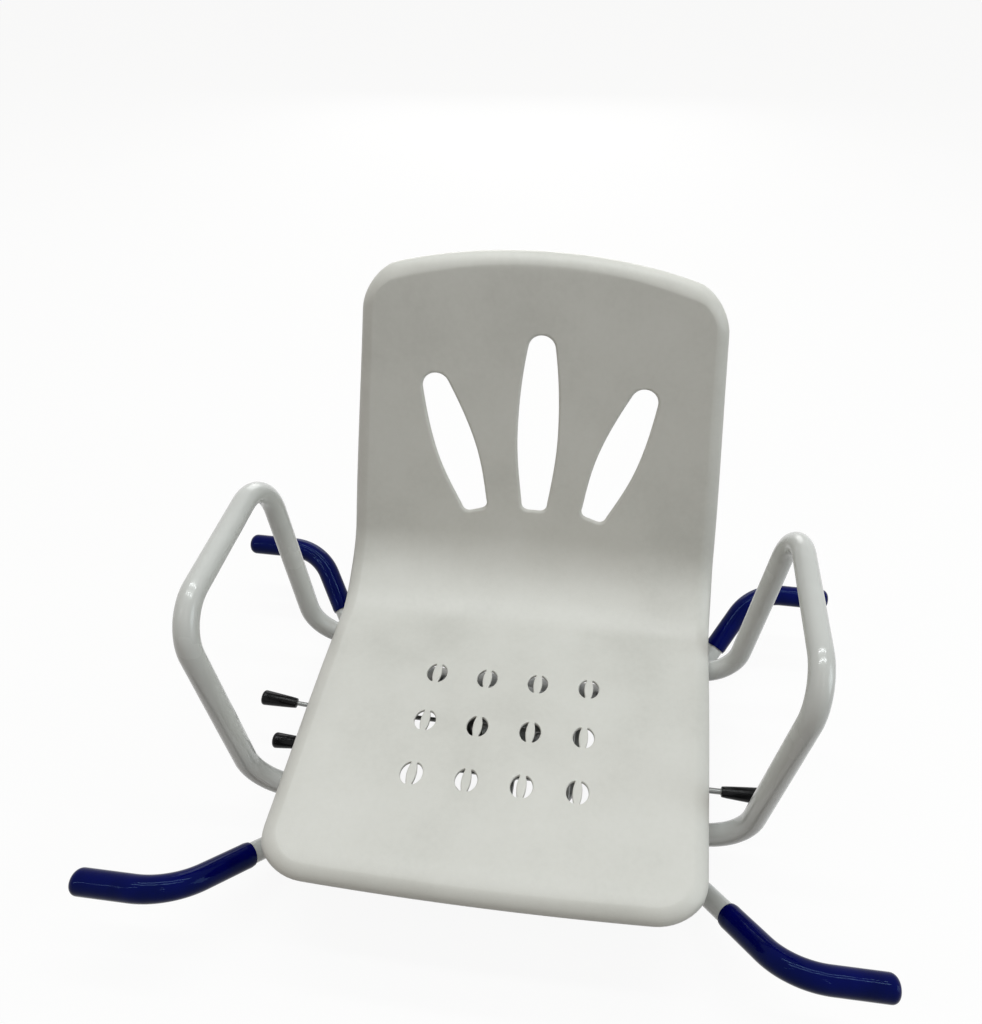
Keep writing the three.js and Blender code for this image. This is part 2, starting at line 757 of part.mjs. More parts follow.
// A flat strip with round corners, lying along X
function stripPlate({ halfX, halfY, cornerRadius }, thickness) {
  const outline = new THREE.Shape();
  const corners = [[1, 1], [-1, 1], [-1, -1], [1, -1]];
  corners.forEach(([sx, sy], k) => {
    const start = k * (Math.PI / 2);
    const centre = [sx * (halfX - cornerRadius), sy * (halfY - cornerRadius)];
    outline.absarc(...centre, cornerRadius, start, start + Math.PI / 2);
  });
  outline.closePath();
  return extruded(outline, thickness, 4);
}

// Cutters for the two windows in front of the pivot, either side of the front lock pin
function windowCutters(thickness) {
  const { innerX, outerX, nearY, farY, margin } = plateWindow;
  const [lowZ, highZ] = [-cutOverrun, thickness + cutOverrun];
  const within = bar(slideRing.innerRadius - margin, lowZ, highZ, 32);
  return [-1, 1].map((side) => {
    const [lowX, highX] = side > 0 ? [innerX, outerX] : [-outerX, -innerX];
    return overlap(block([lowX, farY, lowZ], [highX, nearY, highZ]), within);
  });
}

// A round plate under the slide ring, with a strip at its front and rear that bolts to a base tube
function lowerSwivelPlate() {
  const { thickness, overhang, neckHalfX } = lowerPlate;
  const disc = bar(slideRingRadius + overhang, 0, thickness, 32);
  const neck = block([-neckHalfX, -base.crossY, 0], [neckHalfX, base.crossY, thickness]);
  const strips = [-base.crossY, base.crossY].map((y) => stripPlate(footStrip, thickness).translate(0, y, 0));
  const holeAt = (radius, x, y) => drill(radius, -cutOverrun, thickness + cutOverrun).translate(x, y, 0);
  const drills = [holeAt(pivot.radius, 0, 0)];
  for (const x of [-baseBolt.x, baseBolt.x]) {
    for (const y of [-base.crossY, base.crossY]) drills.push(holeAt(m6.radius, x, y));
  }
  return cut(join([disc, neck, ...strips, ...lockLugs()]), [...drills, ...windowCutters(thickness)]);
}

// Pairs of lugs on the lower plate that hold each lock pin's tip between them at every quarter turn
function lockLugs() {
  const near = pin.radius + touchGap;
  const far = near + lug.thickness;
  const topZ = lowerPlate.thickness + lug.height;
  const lugs = [];
  for (const [x, y] of pinPlaces) {
    const reach = Math.hypot(x, y);
    for (let quarter = 0; quarter < 4; quarter += 1) {
      for (const [low, high] of [[near, far], [-far, -near]]) {
        const upstand = block([reach - lug.halfLength, low, lowerPlate.thickness / 2],
          [reach + lug.halfLength, high, topZ]);
        lugs.push(upstand.rotateZ(Math.atan2(y, x) + quarter * (Math.PI / 2)));
      }
    }
  }
  return lugs;
}

function upperSwivelPlate() {
  const { thickness } = upperPlate;
  const radius = slideRingRadius + upperPlate.overhang;
  const holeAt = (size, x, y) => drill(size, -cutOverrun, thickness + cutOverrun).translate(x, y, 0);
  const pinHoles = pinPlaces.map(([x, y]) => holeAt(pin.radius, x, y));
  const bushHole = holeAt(pivot.radius + touchGap + pivot.bushWall, 0, 0);
  return cut(bar(radius, 0, thickness, 32), [bushHole, ...pinHoles, ...windowCutters(thickness)]);
}

// Fasteners

const hexSides = 6;

function hexBolt(headRadius, headHeight, shankRadius, shankLength) {
  return join([
    bar(headRadius, 0, headHeight, hexSides),
    bar(shankRadius, -shankLength, headHeight / 2, 10),
  ]);
}

function hexNut(radius, height, boreRadius) {
  return cut(bar(radius, 0, height, hexSides), [drill(boreRadius, -cutOverrun, height + cutOverrun)]);
}

// A round head on top of a shank, the head's seat at z = 0
function roundHeadPin(headRadius, headHeight, shankRadius, shankLength, sides = 10) {
  return turned([[0, -shankLength], [shankRadius, -shankLength], [shankRadius, 0], [headRadius, 0],
    [headRadius, headHeight / 2], [headRadius / 2, headHeight], [0, headHeight]], sides);
}

// Lock levers

// A tapered hand grip along +Z, its open end at z = 0
function handGrip(rodRadius) {
  const { length, innerRadius, outerRadius, endRadius, boreDepth } = grip;
  const bore = rodRadius + touchGap;
  const endSteps = 3;
  const points = [[0, boreDepth], [bore, boreDepth], [bore, 0], [innerRadius, 0]];
  for (let k = 0; k <= endSteps; k += 1) {
    const angle = (Math.PI / 2) * (k / endSteps);
    points.push([
      outerRadius - endRadius + endRadius * Math.cos(angle),
      length - endRadius + endRadius * Math.sin(angle),
    ]);
  }
  points.push([0, length]);
  return turned(points, 12);
}

// The flat profile of an upright strap with a round top and a rivet hole, standing on z = deckZ
function strap(halfWidth, topZ, eyeZ, thickness) {
  const outline = new THREE.Shape();
  outline.moveTo(-halfWidth, deckZ);
  outline.lineTo(halfWidth, deckZ);
  outline.lineTo(halfWidth, topZ - halfWidth);
  outline.absarc(0, topZ - halfWidth, halfWidth, 0, Math.PI);
  outline.closePath();
  outline.holes.push(roundHole(0, eyeZ));
  return extruded(outline, thickness, 6);
}

// A rivet hole in a flat outline
function roundHole(x, y) {
  const path = new THREE.Path();
  path.absarc(x, y, rivet.radius + touchGap, 0, 2 * Math.PI, true);
  return path;
}

// An ear that carries the lock bar, with a foot that turns outwards on the plate
function lockBarEar(side) {
  const upright = strap(ear.halfWidth, lockBar.z + ear.rise, lockBar.z, ear.thickness)
    .applyMatrix4(uprightFrame())
    .translate(-ear.thickness / 2, 0, 0);
  const foot = block(
    [Math.min(0, side * ear.foot), -ear.halfWidth, deckZ],
    [Math.max(0, side * ear.foot), ear.halfWidth, deckZ + ear.thickness],
  );
  return join([upright, foot]);
}

// Stands an outline drawn in (x, y) up in the YZ plane, with its depth along X
function uprightFrame() {
  return new THREE.Matrix4().makeBasis(
    new THREE.Vector3(0, 1, 0),
    new THREE.Vector3(0, 0, 1),
    new THREE.Vector3(1, 0, 0),
  );
}

// The lock bar: a rod across the seat with two flat arms back to its hinge
function lockBarRod() {
  const { radius, y, hingeY, armX, armThickness, armHalfHeight, leftGripX, rightGripX } = lockBar;
  const rod = bar(radius, leftGripX - grip.rodDepth, rightGripX + grip.rodDepth, 12)
    .rotateY(Math.PI / 2)
    .translate(0, y, 0);
  const arms = [-armX, armX].map((x) => {
    const outline = new THREE.Shape();
    outline.absarc(y, 0, armHalfHeight, Math.PI / 2, (3 * Math.PI) / 2);
    outline.absarc(hingeY, 0, armHalfHeight, -Math.PI / 2, Math.PI / 2);
    outline.closePath();
    outline.holes.push(roundHole(hingeY, 0));
    return extruded(outline, armThickness, 6)
      .applyMatrix4(uprightFrame())
      .translate(x - armThickness / 2, 0, 0);
  });
  return join([rod, ...arms]);
}

// The side lever: a thin rod with a flat eye at its inner end, bent up towards its grip
function sideLeverRod() {
  const { radius, pivotX, bendX, bendRadius, rise, gripX, eyeRadius } = sideLever;
  const outerX = gripX - grip.rodDepth;
  const outerZ = (bendX - outerX) * Math.tan(radians(rise));
  const route = bentRoute([
    [[pivotX, 0, 0]],
    [[bendX, 0, 0], bendRadius],
    [[outerX, 0, outerZ]],
  ]);
  const eye = bar(eyeRadius, -radius, radius, 14).rotateX(Math.PI / 2).translate(pivotX, 0, 0);
  const rivetHole = drill(rivet.radius, -radius - cutOverrun, radius + cutOverrun)
    .rotateX(Math.PI / 2)
    .translate(pivotX, 0, 0);
  return cut(join([sweep(route, radius, 0, 10), eye]), [rivetHole]);
}

// The forked bracket that holds the side lever's eye between two cheeks
function sideLeverFork() {
  const halfGap = sideLever.radius + touchGap;
  const topZ = sideLever.z + fork.rise;
  const cheek = strap(fork.halfWidth, topZ, sideLever.z, fork.thickness).rotateX(Math.PI / 2);
  const near = cheek.clone().translate(0, -halfGap, 0);
  const far = cheek.clone().translate(0, halfGap + fork.thickness, 0);
  const halfY = halfGap + fork.thickness;
  const floor = block([-fork.halfWidth, -halfY, deckZ], [fork.halfWidth, halfY, deckZ + fork.thickness]);
  return join([near, far, floor]);
}

// A lock pin: shank down to just above the lower plate, spring collar, and a head with the eye
// that its lever passes through. rodZ is the height of the lever's rod.
function lockPin(rodZ, rodRadius) {
  const tipZ = lowerPlateZ + lowerPlate.thickness + touchGap;
  const { radius, headRadius, headHalfHeight, collarRadius, collarThickness, slack, eyeHalfWidth } = pin;
  const collarZ = deckZ + guide.height + touchGap;
  const chamfer = radius / 4;
  const body = turned([
    [0, tipZ],
    [radius - chamfer, tipZ],
    [radius, tipZ + chamfer],
    [radius, collarZ],
    [collarRadius, collarZ],
    [collarRadius, collarZ + collarThickness],
    [radius, collarZ + collarThickness],
    [radius, rodZ - headHalfHeight],
    [headRadius, rodZ - headHalfHeight],
    [headRadius, rodZ + headHalfHeight],
    [0, rodZ + headHalfHeight],
  ], 12);
  const halfEye = rodRadius + slack;
  const reach = headRadius + cutOverrun;
  return cut(body, [block([-reach, -eyeHalfWidth, rodZ - halfEye], [reach, eyeHalfWidth, rodZ + halfEye])]);
}

function pinGuide() {
  const bore = pin.radius + touchGap;
  return turned(ringProfile(bore, bore + guide.wall, deckZ, deckZ + guide.height), 12);
}

function bridgeRoofZ(rodZ) {
  return rodZ - pin.headHalfHeight - bridge.thickness;
}

// The strap that the pin's spring pushes against, with a foot either side
function pinBridge(rodZ) {
  const { halfWidth, halfSpan, thickness, footLength } = bridge;
  const roofZ = bridgeRoofZ(rodZ);
  const outerSpan = halfSpan + footLength;
  const parts = [
    block([-halfSpan, -halfWidth, roofZ - thickness], [halfSpan, halfWidth, roofZ]),
    block([-halfSpan, -halfWidth, deckZ], [thickness - halfSpan, halfWidth, roofZ]),
    block([halfSpan - thickness, -halfWidth, deckZ], [halfSpan, halfWidth, roofZ]),
    block([-outerSpan, -halfWidth, deckZ], [thickness - halfSpan, halfWidth, deckZ + thickness]),
    block([halfSpan - thickness, -halfWidth, deckZ], [outerSpan, halfWidth, deckZ + thickness]),
  ];
  return cut(join(parts), [drill(pin.radius, roofZ - thickness - cutOverrun, roofZ + cutOverrun)]);
}

// A compression spring between the pin's collar and the bridge
function pinSpring(rodZ) {
  const { wireRadius, coilRadius, turns, stepsPerTurn, wireSides } = spring;
  const lowZ = deckZ + guide.height + touchGap + pin.collarThickness + touchGap + wireRadius;
  const highZ = bridgeRoofZ(rodZ) - bridge.thickness - touchGap - wireRadius;
  const steps = turns * stepsPerTurn;
  const risePerRadian = (highZ - lowZ) / (2 * Math.PI * turns);
  const stations = [];
  for (let k = 0; k <= steps; k += 1) {
    const angle = (2 * Math.PI * k) / stepsPerTurn;
    const x = coilRadius * Math.cos(angle);
    const y = coilRadius * Math.sin(angle);
    const point = new THREE.Vector3(x, y, lowZ + risePerRadian * angle);
    const tangent = new THREE.Vector3(-y, x, risePerRadian).normalize();
    stations.push({ point, tangent });
  }
  return sweep(new StationCurve(stations), wireRadius, 0, wireSides);
}

// Assembly

const seat = new THREE.Group();

function place(name, geometry, finish, position = [0, 0, 0], rotation = [0, 0, 0], parent = seat) {
  const mesh = new THREE.Mesh(geometry, finish);
  mesh.name = name;
  mesh.position.set(...position);
  mesh.rotation.set(...rotation);
  parent.add(mesh);
  return mesh;
}

const sides = [['left', -1], ['right', 1]];
const ends = [['front', -1], ['rear', 1]];

// Fixed base
for (const [end, sign] of ends) {
  place(`base_tube_${end}`, baseTube(sign), material.paint);
  for (const [side, across] of sides) {
    place(`sleeve_${end}_${side}`, frameSleeve(sign, across), material.navy);
    const { x, buttonRadius, buttonHeight, lengthInTube } = baseBolt;
    const bolt = roundHeadPin(buttonRadius, buttonHeight, m6.radius, lowerPlate.thickness + lengthInTube);
    const headZ = lowerPlateZ + lowerPlate.thickness + touchGap;
    place(`base_bolt_${end}_${side}`, bolt, material.steel, [across * x, sign * base.crossY, headZ]);
  }
}
place('lower_swivel_plate', lowerSwivelPlate(), material.steel, [0, 0, lowerPlateZ]);
const ringShape = ringProfile(slideRing.innerRadius, slideRingRadius, 0, slideRing.thickness);
place('slide_ring', turned(ringShape, 28), material.nylon, [0, 0, slideRingZ]);

const washerZ = deckZ + pivot.flangeThickness + touchGap;
const pivotHeadZ = washerZ + pivotWasher.thickness + touchGap;
const pivotLength = pivotHeadZ - lowerPlateZ + touchGap + pivotNut.height;
const washerShape = ringProfile(pivot.radius + touchGap, pivotWasher.radius, 0, pivotWasher.thickness);
const pivotBolt = hexBolt(pivotHead.radius, pivotHead.height, pivot.radius, pivotLength);
place('pivot_bolt', pivotBolt, material.steel, [0, 0, pivotHeadZ]);
place('pivot_washer', turned(washerShape, 14), material.steel, [0, 0, washerZ]);
const pivotNutZ = lowerPlateZ - touchGap - pivotNut.height;
place('pivot_nut', hexNut(pivotNut.radius, pivotNut.height, pivot.radius), material.steel, [0, 0, pivotNutZ]);

// Turning seat carrier
place('upper_swivel_plate', upperSwivelPlate(), material.steel, [0, 0, upperPlateZ]);
const bushBore = pivot.radius + touchGap;
const bushRadius = bushBore + pivot.bushWall;
const bushShape = [
  [bushBore, upperPlateZ],
  [bushRadius, upperPlateZ],
  [bushRadius, deckZ],
  [pivot.flangeRadius, deckZ],
  [pivot.flangeRadius, deckZ + pivot.flangeThickness],
  [bushBore, deckZ + pivot.flangeThickness],
  [bushBore, upperPlateZ],
];
place('pivot_bush', turned(bushShape, 14), material.nylon);
for (const [side, across] of sides) {
  place(`side_rail_${side}`, sideRail(), material.paint, [across * rail.x, 0, 0]);
}
for (const [end, sign] of ends) {
  const y = sign < 0 ? armrest.frontY : armrest.rearY;
  place(`socket_tube_${end}`, socketTube(y), material.paint);
  for (const [side, across] of sides) {
    const headZ = armrest.lowerZ - socketRadius - touchGap;
    const boltLength = 2 * (socketRadius + touchGap) + m6.nutHeight + touchGap;
    const bolt = hexBolt(m6.headRadius, m6.headHeight, m6.radius, boltLength);
    const boltX = across * armrestBoltX;
    place(`armrest_bolt_${end}_${side}`, bolt, material.steel, [boltX, y, headZ], [Math.PI, 0, 0]);
    const nut = hexNut(m6.headRadius, m6.nutHeight, m6.radius);
    place(`armrest_nut_${end}_${side}`, nut, material.steel, [boltX, y, bossFootZ]);
    const screwLength = 2 * (socketRadius + touchGap) + shellScrew.depthInBoss;
    const { radius, headRadius, headHeight } = shellScrew;
    const screw = roundHeadPin(headRadius, headHeight, radius, screwLength);
    place(`shell_screw_${end}_${side}`, screw, material.steel, [across * boss.x, y, headZ], [Math.PI, 0, 0]);
  }
}
for (const [side, across] of sides) place(`armrest_${side}`, armrestTube(across), material.paint);
place('seat_shell', seatShell(), material.shell);

// Lock bar, worked from either side of the seat
place('lock_bar', lockBarRod(), material.steel, [0, 0, lockBar.z]);
for (const [side, across] of sides) {
  const gripX = across < 0 ? lockBar.leftGripX : lockBar.rightGripX;
  const quarterTurn = (across * Math.PI) / 2;
  const gripPlace = [gripX, lockBar.y, lockBar.z];
  place(`lock_bar_grip_${side}`, handGrip(lockBar.radius), material.black, gripPlace, [0, quarterTurn, 0]);
  const earX = across * (lockBar.armX + lockBar.armThickness / 2 + touchGap + ear.thickness / 2);
  place(`lock_bar_ear_${side}`, lockBarEar(across), material.steel, [earX, lockBar.hingeY, 0]);
  const rivetX = earX + across * (ear.thickness / 2 + touchGap);
  const rivetLength = ear.thickness + lockBar.armThickness + 3 * touchGap;
  const earRivet = roundHeadPin(rivet.headRadius, rivet.headThickness, rivet.radius, rivetLength);
  const rivetPlace = [rivetX, lockBar.hingeY, lockBar.z];
  place(`lock_bar_rivet_${side}`, earRivet, material.steel, rivetPlace, [0, quarterTurn, 0]);
}

// Side lever
place('side_lever', sideLeverRod(), material.steel, [0, sideLever.y, sideLever.z]);
const gripRise = (sideLever.bendX - sideLever.gripX) * Math.tan(radians(sideLever.rise));
place('side_lever_grip', handGrip(sideLever.radius), material.black,
  [sideLever.gripX, sideLever.y, sideLever.z + gripRise], [0, -Math.PI / 2 + radians(sideLever.rise), 0]);
place('side_lever_fork', sideLeverFork(), material.steel, [sideLever.pivotX, sideLever.y, 0]);
const forkRivetY = sideLever.y - sideLever.radius - fork.thickness - 2 * touchGap;
const forkRivetLength = 2 * (sideLever.radius + fork.thickness + 2 * touchGap);
const forkRivet = roundHeadPin(rivet.headRadius, rivet.headThickness, rivet.radius, forkRivetLength);
const forkRivetPlace = [sideLever.pivotX, forkRivetY, sideLever.z];
place('side_lever_rivet', forkRivet, material.steel, forkRivetPlace, [Math.PI / 2, 0, 0]);

// The two sprung lock pins
const locks = [
  { name: 'front', x: 0, lever: lockBar },
  { name: 'side', x: pinX, lever: sideLever },
];
for (const { name, x, lever } of locks) {
  const position = [x, lever.y, 0];
  place(`${name}_lock_pin`, lockPin(lever.z, lever.radius), material.steel, position);
  place(`${name}_pin_guide`, pinGuide(), material.nylon, position);
  place(`${name}_pin_bridge`, pinBridge(lever.z), material.steel, position, [0, 0, Math.PI / 2]);
  place(`${name}_lock_spring`, pinSpring(lever.z), material.steel, position);
}

// The origin goes to the bottom centre of the whole seat's box
const box = new THREE.Box3().setFromObject(seat, true);
seat.position.set(-(box.min.x + box.max.x) / 2, -(box.min.y + box.max.y) / 2, -box.min.z);
seat.updateMatrixWorld(true);

export default seat;
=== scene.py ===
import json
import math
from collections import namedtuple
from types import SimpleNamespace as Sizes

import bmesh
import bpy
from mathutils import Matrix, Vector
from mathutils.geometry import delaunay_2d_cdt
from mathutils.kdtree import KDTree


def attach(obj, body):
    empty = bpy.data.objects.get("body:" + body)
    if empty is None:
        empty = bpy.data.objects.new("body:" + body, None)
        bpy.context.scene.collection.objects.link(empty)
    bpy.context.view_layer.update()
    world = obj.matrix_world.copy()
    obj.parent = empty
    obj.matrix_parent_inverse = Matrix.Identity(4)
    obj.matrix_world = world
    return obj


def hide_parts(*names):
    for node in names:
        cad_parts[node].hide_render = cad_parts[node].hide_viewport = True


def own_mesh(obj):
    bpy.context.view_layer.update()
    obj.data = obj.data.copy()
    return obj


# Swivel bath seat. Sizes are in millimetres from the swivel axis and from the centre line of the four
# sleeved frame ends, as in the part's source, and to_row takes them to metres in the row's frame.

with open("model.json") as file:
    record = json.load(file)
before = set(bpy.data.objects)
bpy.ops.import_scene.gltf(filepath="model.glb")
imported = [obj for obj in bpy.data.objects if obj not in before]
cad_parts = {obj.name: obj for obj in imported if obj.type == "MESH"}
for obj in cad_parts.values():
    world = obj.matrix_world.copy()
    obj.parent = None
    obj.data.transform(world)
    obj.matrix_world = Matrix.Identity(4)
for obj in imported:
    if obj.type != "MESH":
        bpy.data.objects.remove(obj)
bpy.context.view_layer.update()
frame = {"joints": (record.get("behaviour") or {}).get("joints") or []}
scene = bpy.context.scene

MM = 0.001
SWIVEL_POINT_Z = -70
swivel = next(joint for joint in frame["joints"] if joint["name"] == "swivel")
axis_foot = Vector(swivel["pos_m"]) - Vector((0, 0, SWIVEL_POINT_Z * MM))
to_row = Matrix.Translation(axis_foot) @ Matrix.Scale(MM, 4)

SIDES = (("left", -1), ("right", 1))
ENDS = (("front", -1), ("rear", 1))
# The gap between pieces that touch
TOUCH = 0.3

ARMREST_TUBE = Sizes(radius=11.1, wall=1.5)
ARMREST = Sizes(low=-24, top=208, low_out=248, top_out=273, front=-91, rear=107, top_front=-74, top_rear=129,
                bend=46, inner_end=100)
ARMREST_ROWS = (("front", ARMREST.front), ("rear", ARMREST.rear))
BASE_TUBE = Sizes(radius=10.5, wall=1.5)
BASE = Sizes(tip=367.5, row=218.5, elbow=277, cross=188, cross_row=95, drop=86, bend=60)
BASE_ROWS = tuple((end, sign * BASE.cross_row) for end, sign in ENDS)
SLEEVE = Sizes(radius=12.45, wall=1.4, tip_radius=8, length=175, cap=3, tip_step=0.04, steps=8,
               least_swell=0.0005, bead=0.35, bead_half=2.5, lip=0.5, lip_length=0.8)
SOCKET = Sizes(bore=11.5, radius=13.1, half_length=150)
RAIL = Sizes(out=67, half_width=7, wall=2, overhang=13, corner=2.6, inner_corner=1, edge=0.4)

# Heights from the frame's cross tubes up to the sockets of the armrests
CROSS_Z = -BASE.drop
LOWER_PLATE = Sizes(thickness=3, radius=88, neck=55, neck_corner=4, strip_x=122, strip_y=13, corner=8)
LOWER_PLATE_Z = CROSS_Z + BASE_TUBE.radius + TOUCH
RING = Sizes(inner=74, outer=84, thickness=4)
RING_Z = LOWER_PLATE_Z + LOWER_PLATE.thickness + TOUCH
UPPER_PLATE = Sizes(radius=89, thickness=4)
UPPER_PLATE_Z = RING_Z + RING.thickness + TOUCH
DECK_Z = UPPER_PLATE_Z + UPPER_PLATE.thickness + TOUCH
SOCKET_LOW_Z = ARMREST.low - SOCKET.radius - TOUCH
SOCKET_TOP_Z = ARMREST.low + SOCKET.radius + TOUCH

WINDOW = Sizes(inner=12, outer=56, near=-28, far=-60, reach=71, corner=4)
LUG = Sizes(thickness=2.5, half_length=3, height=3)
LOCK_BAR = Sizes(radius=3, row=-48, z=-14, grips=(-205, 228), hinge=-12, arm=44, arm_thickness=3, arm_half=6)
SIDE_LEVER = Sizes(radius=2.5, row=3, z=-22, pivot=35, bend=-222, bend_radius=15, rise=7, grip=-237, eye=6)
GRIP = Sizes(length=39, inner=5.4, outer=8.2, end=3.5, bore_depth=30, rod_depth=28, mouth=0.6, flare=0.5,
             lip=0.9, lip_edge=0.25, taper=0.94, swell=0.85, crowding=0.03)
EAR = Sizes(thickness=3, half_width=7, rise=8, foot=9)
FORK = Sizes(thickness=2, half_width=7, rise=7)
PIN = Sizes(radius=4, point=1, hole=4.6, head=8, head_half=7.5, collar=6.5, collar_thickness=2.5, slack=0.6,
            eye_half=5.5, eye_reach=12)
# Each lock pin as (name, place in X, the lever that lifts it, travel)
PINS = (("front", 0, LOCK_BAR, 10.2), ("side", -38, SIDE_LEVER, 4.4))
GUIDE = Sizes(wall=2.6, height=5.5)
BRIDGE = Sizes(half_width=6, half_span=15, thickness=2, foot=8, corner=1.1, hole_slack=0.5)
SPRING = Sizes(wire=0.6, coil=5.3, turns=5)

PIVOT = Sizes(head=11, head_height=7.5, shank=6, hole=6.4, nut_height=10, bore=6.3, washer=14,
              washer_thickness=2, bush=9, bush_hole=9.4, flange=15, flange_thickness=2)
ARMREST_BOLT = Sizes(out=125, head=5.8, head_height=4, shank=3, bite=5, nut_height=5, bore=3.2)
SHELL_SCREW = Sizes(out=54, head=5, head_height=3, shank=2.4, bite=9, socket=2.2)
BASE_BOLT = Sizes(out=100, head=6, head_height=3.5, shank=3, bite=9, socket=2.4, hole=3.4)
RIVET = Sizes(head=4, head_height=1.5, shank=2, socket=0, hole=2.3)

# Nearly all of a noise's values lie between these two
NOISE_LOW, NOISE_HIGH = 0.3, 0.7


# Node helpers

def add_node(tree, kind, *placed, **named):
    """Adds a node and returns its first output. Values fill its inputs by place, or by name under a key with
    a capital: a socket is linked and anything else is set. A key without a capital is a setting."""
    node = tree.nodes.new(kind)
    filled = list(zip(node.inputs, placed))
    for key, value in named.items():
        if key[0].islower():
            setattr(node, key, value)
        else:
            label = key.replace("_", " ")
            filled.append((next(s for s in node.inputs if s.name == label and s.enabled), value))
    for socket, value in filled:
        if isinstance(value, bpy.types.NodeSocket):
            tree.links.new(value, socket)
        else:
            socket.default_value = value
    return node.outputs[0]


def ramp(tree, fac, colours):
    """Colours spread evenly over the values of a noise."""
    output = add_node(tree, "ShaderNodeValToRGB", fac)
    elements = output.node.color_ramp.elements
    while len(elements) < len(colours):
        elements.new(0.5)
    for k, colour in enumerate(colours):
        elements[k].position = NOISE_LOW + (NOISE_HIGH - NOISE_LOW) * k / (len(colours) - 1)
        elements[k].color = (*colour, 1)
    return output


def noise(tree, where, scale, detail, roughness, stretch=None):
    if stretch:
        where = add_node(tree, "ShaderNodeMapping", where, Scale=stretch)
    return add_node(tree, "ShaderNodeTexNoise", where, Scale=scale, Detail=detail, Roughness=roughness)


def object_coordinates(tree):
    return tree.nodes.new("ShaderNodeTexCoord").outputs["Object"]


# Finishes. Every pattern is laid out on Object coordinates, in metres.

Finish = namedtuple("Finish", "material slot")


def make_finish(name, slot, cloud, colours, gloss, relief, speck=None, grain=None, **held):
    """A finish whose patterns are noises as (scale, detail, roughness). The cloud spreads the colours, with a
    little of the speck. The grain, or else the cloud, moves the roughness between the two values of gloss.
    The relief lists bumps, the lowest first, as (pattern, distance, strength)."""
    material = bpy.data.materials.new(name)
    material.use_nodes = True
    tree = material.node_tree
    inputs = tree.nodes["Principled BSDF"].inputs
    where = object_coordinates(tree)
    tone = noise(tree, where, *cloud)
    rub = noise(tree, where, *grain) if grain else tone
    if speck:
        fine = noise(tree, where, *speck)
        tone = add_node(tree, "ShaderNodeMix", data_type="FLOAT", Factor=0.2, A=tone, B=fine)
    roughness = add_node(tree, "ShaderNodeMapRange", rub, NOISE_LOW, NOISE_HIGH, *gloss)
    normal = None
    for pattern, distance, strength in relief:
        height = noise(tree, where, *pattern)
        upper = add_node(tree, "ShaderNodeBump", Height=height, Distance=distance, Strength=strength)
        if normal:
            tree.links.new(normal, upper.node.inputs["Normal"])
        normal = upper
    tree.links.new(ramp(tree, tone, colours), inputs["Base Color"])
    tree.links.new(roughness, inputs["Roughness"])
    tree.links.new(normal, inputs["Normal"])
    for label, value in held.items():
        inputs[label.replace("_", " ")].default_value = value
    return Finish(material, slot)


SHELL_PLASTIC = make_finish(
    "moulded warm white plastic", "shell", cloud=(9, 4, 0.55), speck=(160, 2, 0.6),
    colours=((0.60, 0.598, 0.57), (0.655, 0.653, 0.625), (0.69, 0.688, 0.664)), gloss=(0.36, 0.52),
    relief=(((26, 2, 0.5), 0.0012, 0.25), ((900, 2, 0.5), 0.0002, 0.35)), Specular_IOR_Level=0.45)
POWDER_COAT = make_finish(
    "white powder coat", "white_paint", cloud=(14, 3, 0.5),
    colours=((0.53, 0.54, 0.53), (0.59, 0.6, 0.59)), gloss=(0.19, 0.29),
    relief=(((420, 2, 0.45), 0.0002, 0.07),), Coat_Weight=0.3, Coat_Roughness=0.1)
NAVY = make_finish(
    "navy soft vinyl", "navy_sleeve", cloud=(30, 3, 0.55), grain=(120, 3, 0.6),
    colours=((0.0003, 0.0006, 0.055), (0.0008, 0.0014, 0.09)), gloss=(0.03, 0.09),
    relief=(((34, 2, 0.5), 0.0015, 0.35), ((120, 3, 0.6), 0.0005, 0.3)),
    Specular_IOR_Level=0.1, Specular_Tint=(0.4, 0.65, 1, 1))
BLACK = make_finish(
    "black dipped grip", "black_grip", cloud=(60, 3, 0.5),
    colours=((0.0015, 0.0015, 0.002), (0.004, 0.004, 0.005)), gloss=(0.12, 0.24),
    relief=(((90, 2, 0.5), 0.0008, 0.3),), Specular_IOR_Level=0.15)
ZINC = make_finish(
    "zinc plated steel", "zinc_steel", cloud=(55, 4, 0.6), grain=(220, 3, 0.7, (1, 9, 1)),
    colours=((0.16, 0.165, 0.16), (0.22, 0.225, 0.22), (0.29, 0.29, 0.275)), gloss=(0.26, 0.44),
    relief=(((220, 3, 0.7, (1, 9, 1)), 0.0001, 0.15),), Metallic=0.9)
NYLON = make_finish(
    "natural nylon", "nylon", cloud=(40, 3, 0.5),
    colours=((0.66, 0.64, 0.58), (0.74, 0.72, 0.67)), gloss=(0.42, 0.58),
    relief=(((40, 3, 0.5), 0.0003, 0.2),), Subsurface_Weight=0.15, Subsurface_Scale=0.002)


# Flat outlines and profiles

def arc_points(centre, radius, start, end, steps):
    """Points on an arc in a plane, the angles in degrees."""
    angles = [math.radians(start + (end - start) * k / steps) for k in range(steps + 1)]
    return [(centre[0] + radius * math.cos(a), centre[1] + radius * math.sin(a)) for a in angles]


def circle(radius, x=0.0, y=0.0, sides=24):
    return arc_points((x, y), radius, 0, 360 * (sides - 1) / sides, sides - 1)


def hexagon(radius):
    return circle(radius, sides=6)


def corner_curve(start, corner, end, shares):
    """Points of the curve that rounds a corner, at these shares of its way."""
    return [tuple(start * (1 - t) ** 2 + corner * (2 * t * (1 - t)) + end * t ** 2) for t in shares]


# A rounded corner takes no more than this share of the straight on each side
CORNER_SHARE = 0.45


